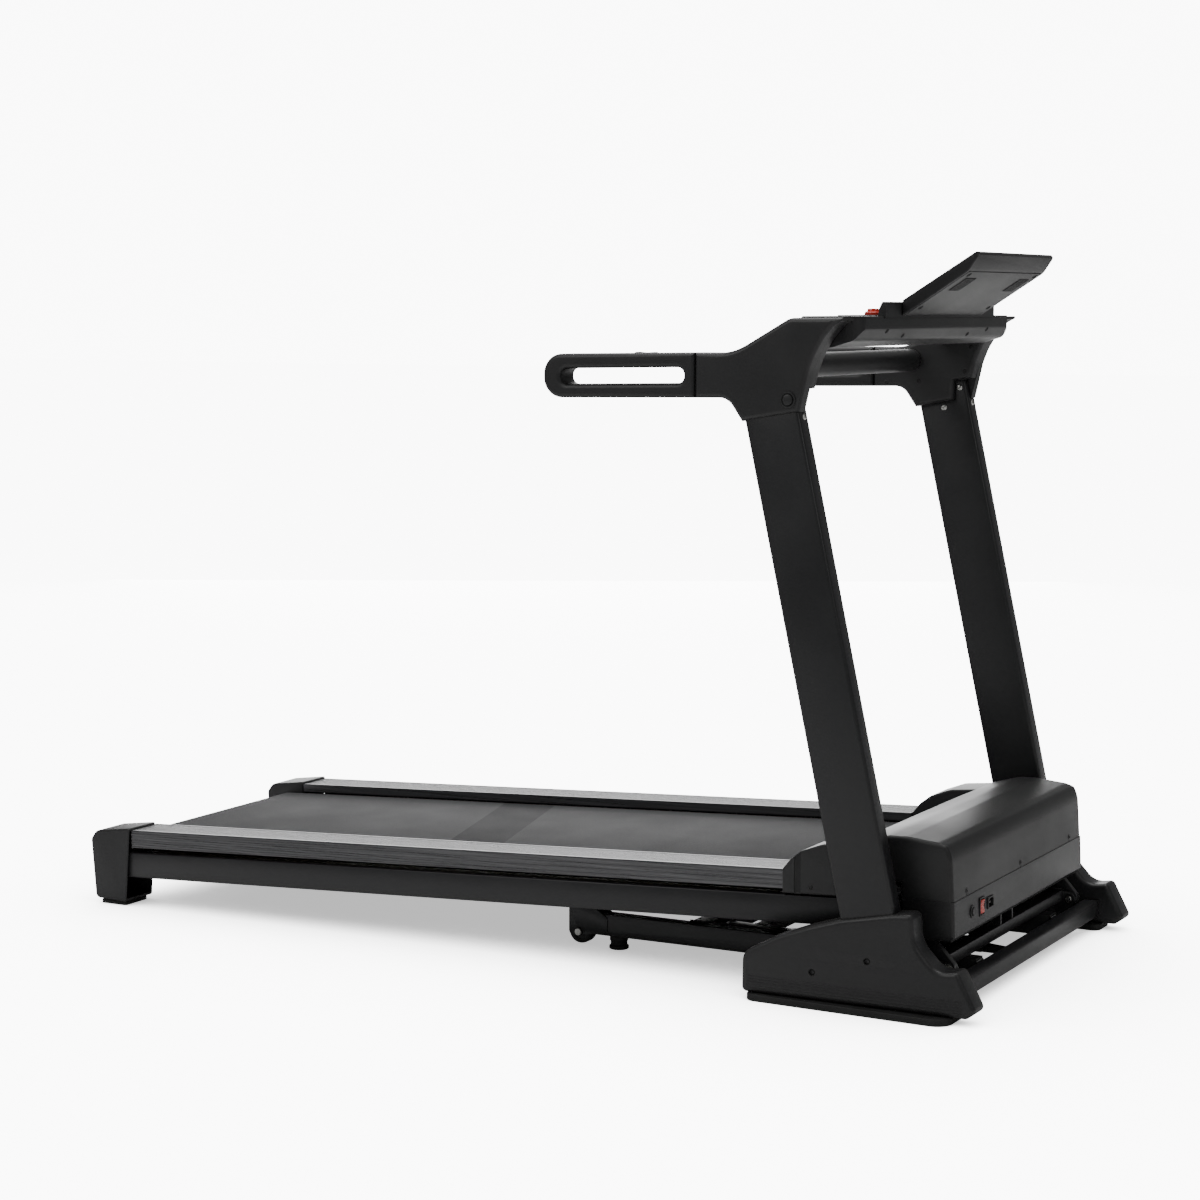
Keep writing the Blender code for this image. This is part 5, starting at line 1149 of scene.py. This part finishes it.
for side, sign in SIDES:
    y0, y1 = span(sign, TUBE_IN - 0.0006, TUBE_OUT + 0.0006)
    for half, outline, other in (("outer", OUTER_SIDE, (ARM_IN - 0.02, ARM_SPLIT)),
                                 ("inner", INNER_SIDE, (ARM_SPLIT - 0.0003, ARM_OUT + 0.02))):
        shell = plate(f"arm_{half}_shell_{side}", [outline], *span(sign, ARM_IN, ARM_OUT), "XZ", edge=0.0080,
                      steps=5)
        cut(shell, plate("blunt_tip", [rectangle(-0.0405, 0.0500, 1.1000, 1.2000)], 0.3000 * sign - 0.2,
                         0.3000 * sign + 0.2,
                         "XZ", edge=0.0, steps=0),
            plate("other_half", [rectangle(-0.4000, 0.0500, 0.9000, 1.2000)], *span(sign, *other), "XZ",
                  edge=0.0,
                         steps=0),
            cutter("tube_socket", [rectangle(-0.0006, TUBE_DEEP + 0.0006, y0, y1, 0.0060)], 0.900,
                   TUBE_HIGH + 0.002, "XY",
                   UPRIGHT))
        fit(shell, MOULDING, "moulding", "base", f"arm_{half}_{side}")
    fit(turned(f"arm_plug_{side}", PLUG, at(-0.1329, sign * ARM_OUT, 1.0019) @ flipped(sign)), MOULDING,
        "moulding",
        "base")
    screws(f"arm_screws_{side}", "base",
           [((x, sign * ARM_IN, z), (0.0, -sign, 0.0)) for x,
            z in ((-0.2106, 1.0133), (-0.1075, 1.0777), (-0.1191, 1.0326),
                                                                   (-0.2760, 1.0100))], 0.0044, 0.0012,
           coat=RUBBER, slot="rubber")
    screws(f"upright_bolts_{side}", "base",
           [((-0.1341, sign * TUBE_IN, 1.0017), (0.0, -sign, 0.0)),
            ((-0.1639, sign * TUBE_IN, 0.9639), (0.0, -sign, 0.0))],
           0.0062, 0.0034)
    screws(f"upright_face_bolt_{side}", "base", [((TUBE_DEEP, sign * FACE_BOLT_Y, FACE_BOLT_UP),
                                                  (1.0, 0.0, 0.0))],
           0.0062, 0.0034, UPRIGHT)

# ------------------------------------------------------------ grab bar
# A straight tube with a foam sleeve runs between the arms; a collar covers each end.
GRAB_X, GRAB_Z, GRAB_R = -0.2270, 1.0520, 0.0213
END = ARM_IN - 0.0003
sleeve = [(0.0, -END), (GRAB_R, -END), (GRAB_R, -END + 0.0120), (GRAB_R - 0.0008, -END + 0.0126),
          (GRAB_R - 0.0008, -END + 0.0134),
          (GRAB_R, -END + 0.0140)]
fit(turned("grab_bar_sleeve", sleeve + [(radius, -along) for radius, along in reversed(sleeve)],
           at(GRAB_X, 0.0, GRAB_Z),
           steps=64), GRIP, "moulding", "base", "grab_bar")

# ------------------------------------------------------------ console shells and keys
# A shallow box spans the arms: a lower tray, a flat upper cover and a raised ridge that meets the
# display.  The cover holds a red stop key, the magnetic safety key in its ring, and quick keys.
SEAM_Z, COVER_Z, CORNER = 1.1340, 1.1372, 0.0300
LOWER_SIDE = rounded([(-0.0300, SEAM_Z - 0.0003), (-0.1375, SEAM_Z - 0.0003), (-0.1800, 1.1070),
                      (-0.1800, 1.1000, 0.005), (-0.1700, 1.0860, 0.010), (-0.0820, 1.0860, 0.024),
                      (-0.0440, 1.0975, 0.020), (-0.0300, 1.1164, 0.012)], 8)
LOWER_INSIDE = [(-0.035, 1.150), (-0.131, 1.150), (-0.131, 1.1325), (-0.175, 1.105), (-0.175, 1.102),
                (-0.168, 1.0905),
                (-0.082, 1.090), (-0.048, 1.101), (-0.035, 1.119)]
tray = plate("console_tray", [LOWER_SIDE], -END, END, "XZ", edge=0.0012)
plan = cutter("console_plan", [rectangle(-0.2600, -0.0290, -END, END, CORNER, 10)], 1.0000, 1.2500, "XY")
combined(tray, plan, "INTERSECT")
cut(tray, cutter("tray_inside", [LOWER_INSIDE], -0.3400, 0.3400, "XZ"))
fit(tray, MOULDING, "moulding", "base", "console_lower_shell")
screws("console_front_screws", "base",
       [((-0.0330, sign * 0.2391, 1.1120), (0.8, 0.0, -0.6)) for side, sign in SIDES]
       + [((-0.0390, sign * 0.1545, 1.1040), (0.8, 0.0, -0.6)) for side, sign in SIDES], 0.0046, 0.0012,
       coat=RUBBER, slot="rubber")

STOP_X, STOP_Y, SAFETY_X, SAFETY_Y = -0.1080, 0.0500, -0.1090, -0.1150
cover = plate("console_cover", [rounded([(-0.0300, SEAM_Z), (-0.0300, COVER_Z), (-0.1330, COVER_Z),
                                         (-0.1370, SEAM_Z)], 5)], -END, END, "XZ", edge=0.0005)
combined(cover, plan, "INTERSECT")
discard(plan)
RIDGE = rounded([(-0.0270, SEAM_Z + 0.0002), (-0.0270, 1.1600), (-0.0340, 1.1613, 0.003),
                 (-0.0395, 1.1500, 0.010),
                 (-0.0420, SEAM_Z + 0.0002)], 8)
ridge = plate("console_ridge", [RIDGE], -0.2600, 0.2600, "XZ", edge=0.0010, steps=2)
cover = combined(cover, ridge, "UNION")
discard(ridge)
cut(cover, cutter("stop_well", [rectangle(STOP_X - 0.0136, STOP_X + 0.0136, STOP_Y - 0.0246, STOP_Y + 0.0246,
                                          0.0030)],
                  1.12, 1.15, "XY"))
fit(cover, MOULDING, "moulding", "base", "console_upper_shell")
fit(plate("stop_button", [rectangle(STOP_X - 0.0130, STOP_X + 0.0130, STOP_Y - 0.0240, STOP_Y + 0.0240,
                                    0.0030)],
          1.1330, 1.1396, "XY", edge=0.0012, steps=3), RED, "red_key", "stop_key", "stop_key")
fit(plate("safety_ring", [circle(SAFETY_X, SAFETY_Y, 0.0200), circle(SAFETY_X, SAFETY_Y, 0.0154)],
          COVER_Z + 0.0001, COVER_Z + 0.0016, "XY", edge=0.0005), MOULDING, "moulding", "base")
KEY = [(0.0, 0.0), (0.0142, 0.0), (0.0150, 0.0008), (0.0150, 0.0050), (0.0135, 0.0066), (0.0105, 0.0072),
       (0.0100, 0.0105),
       (0.0090, 0.0118), (0.0, 0.0120)]
fit(turned("safety_magnet", KEY, at(SAFETY_X, SAFETY_Y, 1.1375), "Z"), RED, "red_key", "safety_key",
    "safety_key")
KEYPAD_X, KEY_PITCH = -0.1090, 0.0260
keys = [plate(f"quick_key_{n}", [circle(KEYPAD_X, sign * (0.1700 + KEY_PITCH * n), 0.0085)],
              COVER_Z + 0.0001, COVER_Z + 0.0016,
              "XY", edge=0.0006) for n in range(4) for side, sign in SIDES]
fit(merged("quick_keys", *keys), RUBBER, "rubber", "base")

# ------------------------------------------------------------ display
# A wedge-shaped housing leans back over the ridge.  Its back is a flat panel with two speaker grilles
# and four screws; a dark lens with empty windows and touch keys covers its face.
DISPLAY_HALF, DISPLAY_X, DISPLAY_Z = 0.1903, -0.0266, 1.1636
DISPLAY_SLOPE, BACK_SLOPE = math.atan2(0.0814, 0.1306), math.atan2(0.0739, 0.1156)
DISPLAY_SIDE = rounded([(-0.0262, 1.1378), (-0.0262, 1.1638), (0.1030, 1.2445, 0.003),
                        (0.1085, 1.2400, 0.003),
                        (0.0894, 1.2117, 0.030)], 8)
DISPLAY = MACHINE @ Matrix.Translation((DISPLAY_X, 0.0, DISPLAY_Z)) @ Matrix.Rotation(-DISPLAY_SLOPE, 4, "Y")
BACK = (MACHINE @ Matrix.Translation((-0.0262, 0.0, 1.1378)) @ Matrix.Rotation(-BACK_SLOPE, 4, "Y")
        @ Matrix.Rotation(math.pi, 4, "X"))
housing = plate("display_shell", [DISPLAY_SIDE], -DISPLAY_HALF, DISPLAY_HALF, "XZ", edge=0.0025, steps=4)
outline = cutter("display_outline", [rectangle(-0.0500, 0.1590, -DISPLAY_HALF, DISPLAY_HALF, 0.0180, 8)],
                 -0.0800, 0.0200,
                 "XY", DISPLAY)
baked(housing, ("BOOLEAN", {"operation": "INTERSECT", "object": outline, "solver": "EXACT"}),
      ("BEVEL", {"width": 0.0012, "segments": 2, "limit_method": "ANGLE", "angle_limit": math.radians(40)}))
discard(outline)
panel = plate("display_back_panel", [rectangle(0.0060, 0.1360, -0.1830, 0.1830, 0.006)], -0.0001, 0.0008,
              "XY", BACK,
              edge=0.0004, steps=2)
fit(housing, HOUSING, "moulding", "base", "display_housing")
fit(panel, PANEL, "moulding", "base")
slit = plate("grille_slit", [rectangle(0.0800, 0.1180, -0.0006, 0.0006, 0.0005)], 0.0010, 0.0020, "XY",
             Matrix.Identity(4),
             edge=0.0003, steps=1)
slit_mesh = slit.data
discard(slit)
for side, sign in SIDES:
    mesh = slit_mesh.copy()
    mesh.transform(Matrix.Translation((0.0, sign * 0.1320 - 0.0225, 0.0)))
    fit(grown(f"speaker_grille_{side}", REPEAT, mesh, BACK, count=16, step=(0.0, 0.0030, 0.0)), PANEL,
        "moulding", "base")
screws("display_back_screws", "base", [((u, sign * 0.1640, 0.0010), (0.0, 0.0, 1.0))
                                       for u in (0.0260, 0.1270)
                                       for side, sign in SIDES], 0.0052, 0.0012, BACK, coat=RUBBER,
       slot="rubber")


fit(plate("display_lens_sheet", [rectangle(0.0120, 0.1420, -0.1780, 0.1780, 0.006)], 0.0004, 0.0020, "XY",
          DISPLAY, edge=0.0005),
    LENS, "glass", "base", "display_glass")


def frame_line(name, u0, u1, v0, v1, width=0.0008, radius=0.003):
    return plate(name, [rectangle(u0, u1, v0, v1, radius), rectangle(u0 + width, u1 - width, v0 + width,
                                                                     v1 - width,
                                                                     radius - width)], 0.0020, 0.0022, "XY",
                                                                     DISPLAY, edge=0.0)


inks = [frame_line("window_middle", 0.0780, 0.1300, -0.0480, 0.0480)]
for side, sign in SIDES:
    inks.append(frame_line(f"window_{side}", 0.0780, 0.1300, *span(sign, 0.0560, 0.1100)))
    inks.append(frame_line(f"window_outer_{side}", 0.0780, 0.1300, *span(sign, 0.1180, 0.1680)))
    for n in range(4):
        inks.append(plate(f"touch_key_{side}_{n}", [circle(0.0400, sign * (0.0200 + 0.0400 * n), 0.0105),
                                                    circle(0.0400, sign * (0.0200 + 0.0400 * n), 0.0097)],
                          0.0020, 0.0022, "XY", DISPLAY, edge=0.0))
fit(merged("display_print", *inks), INK, "glass", "base")
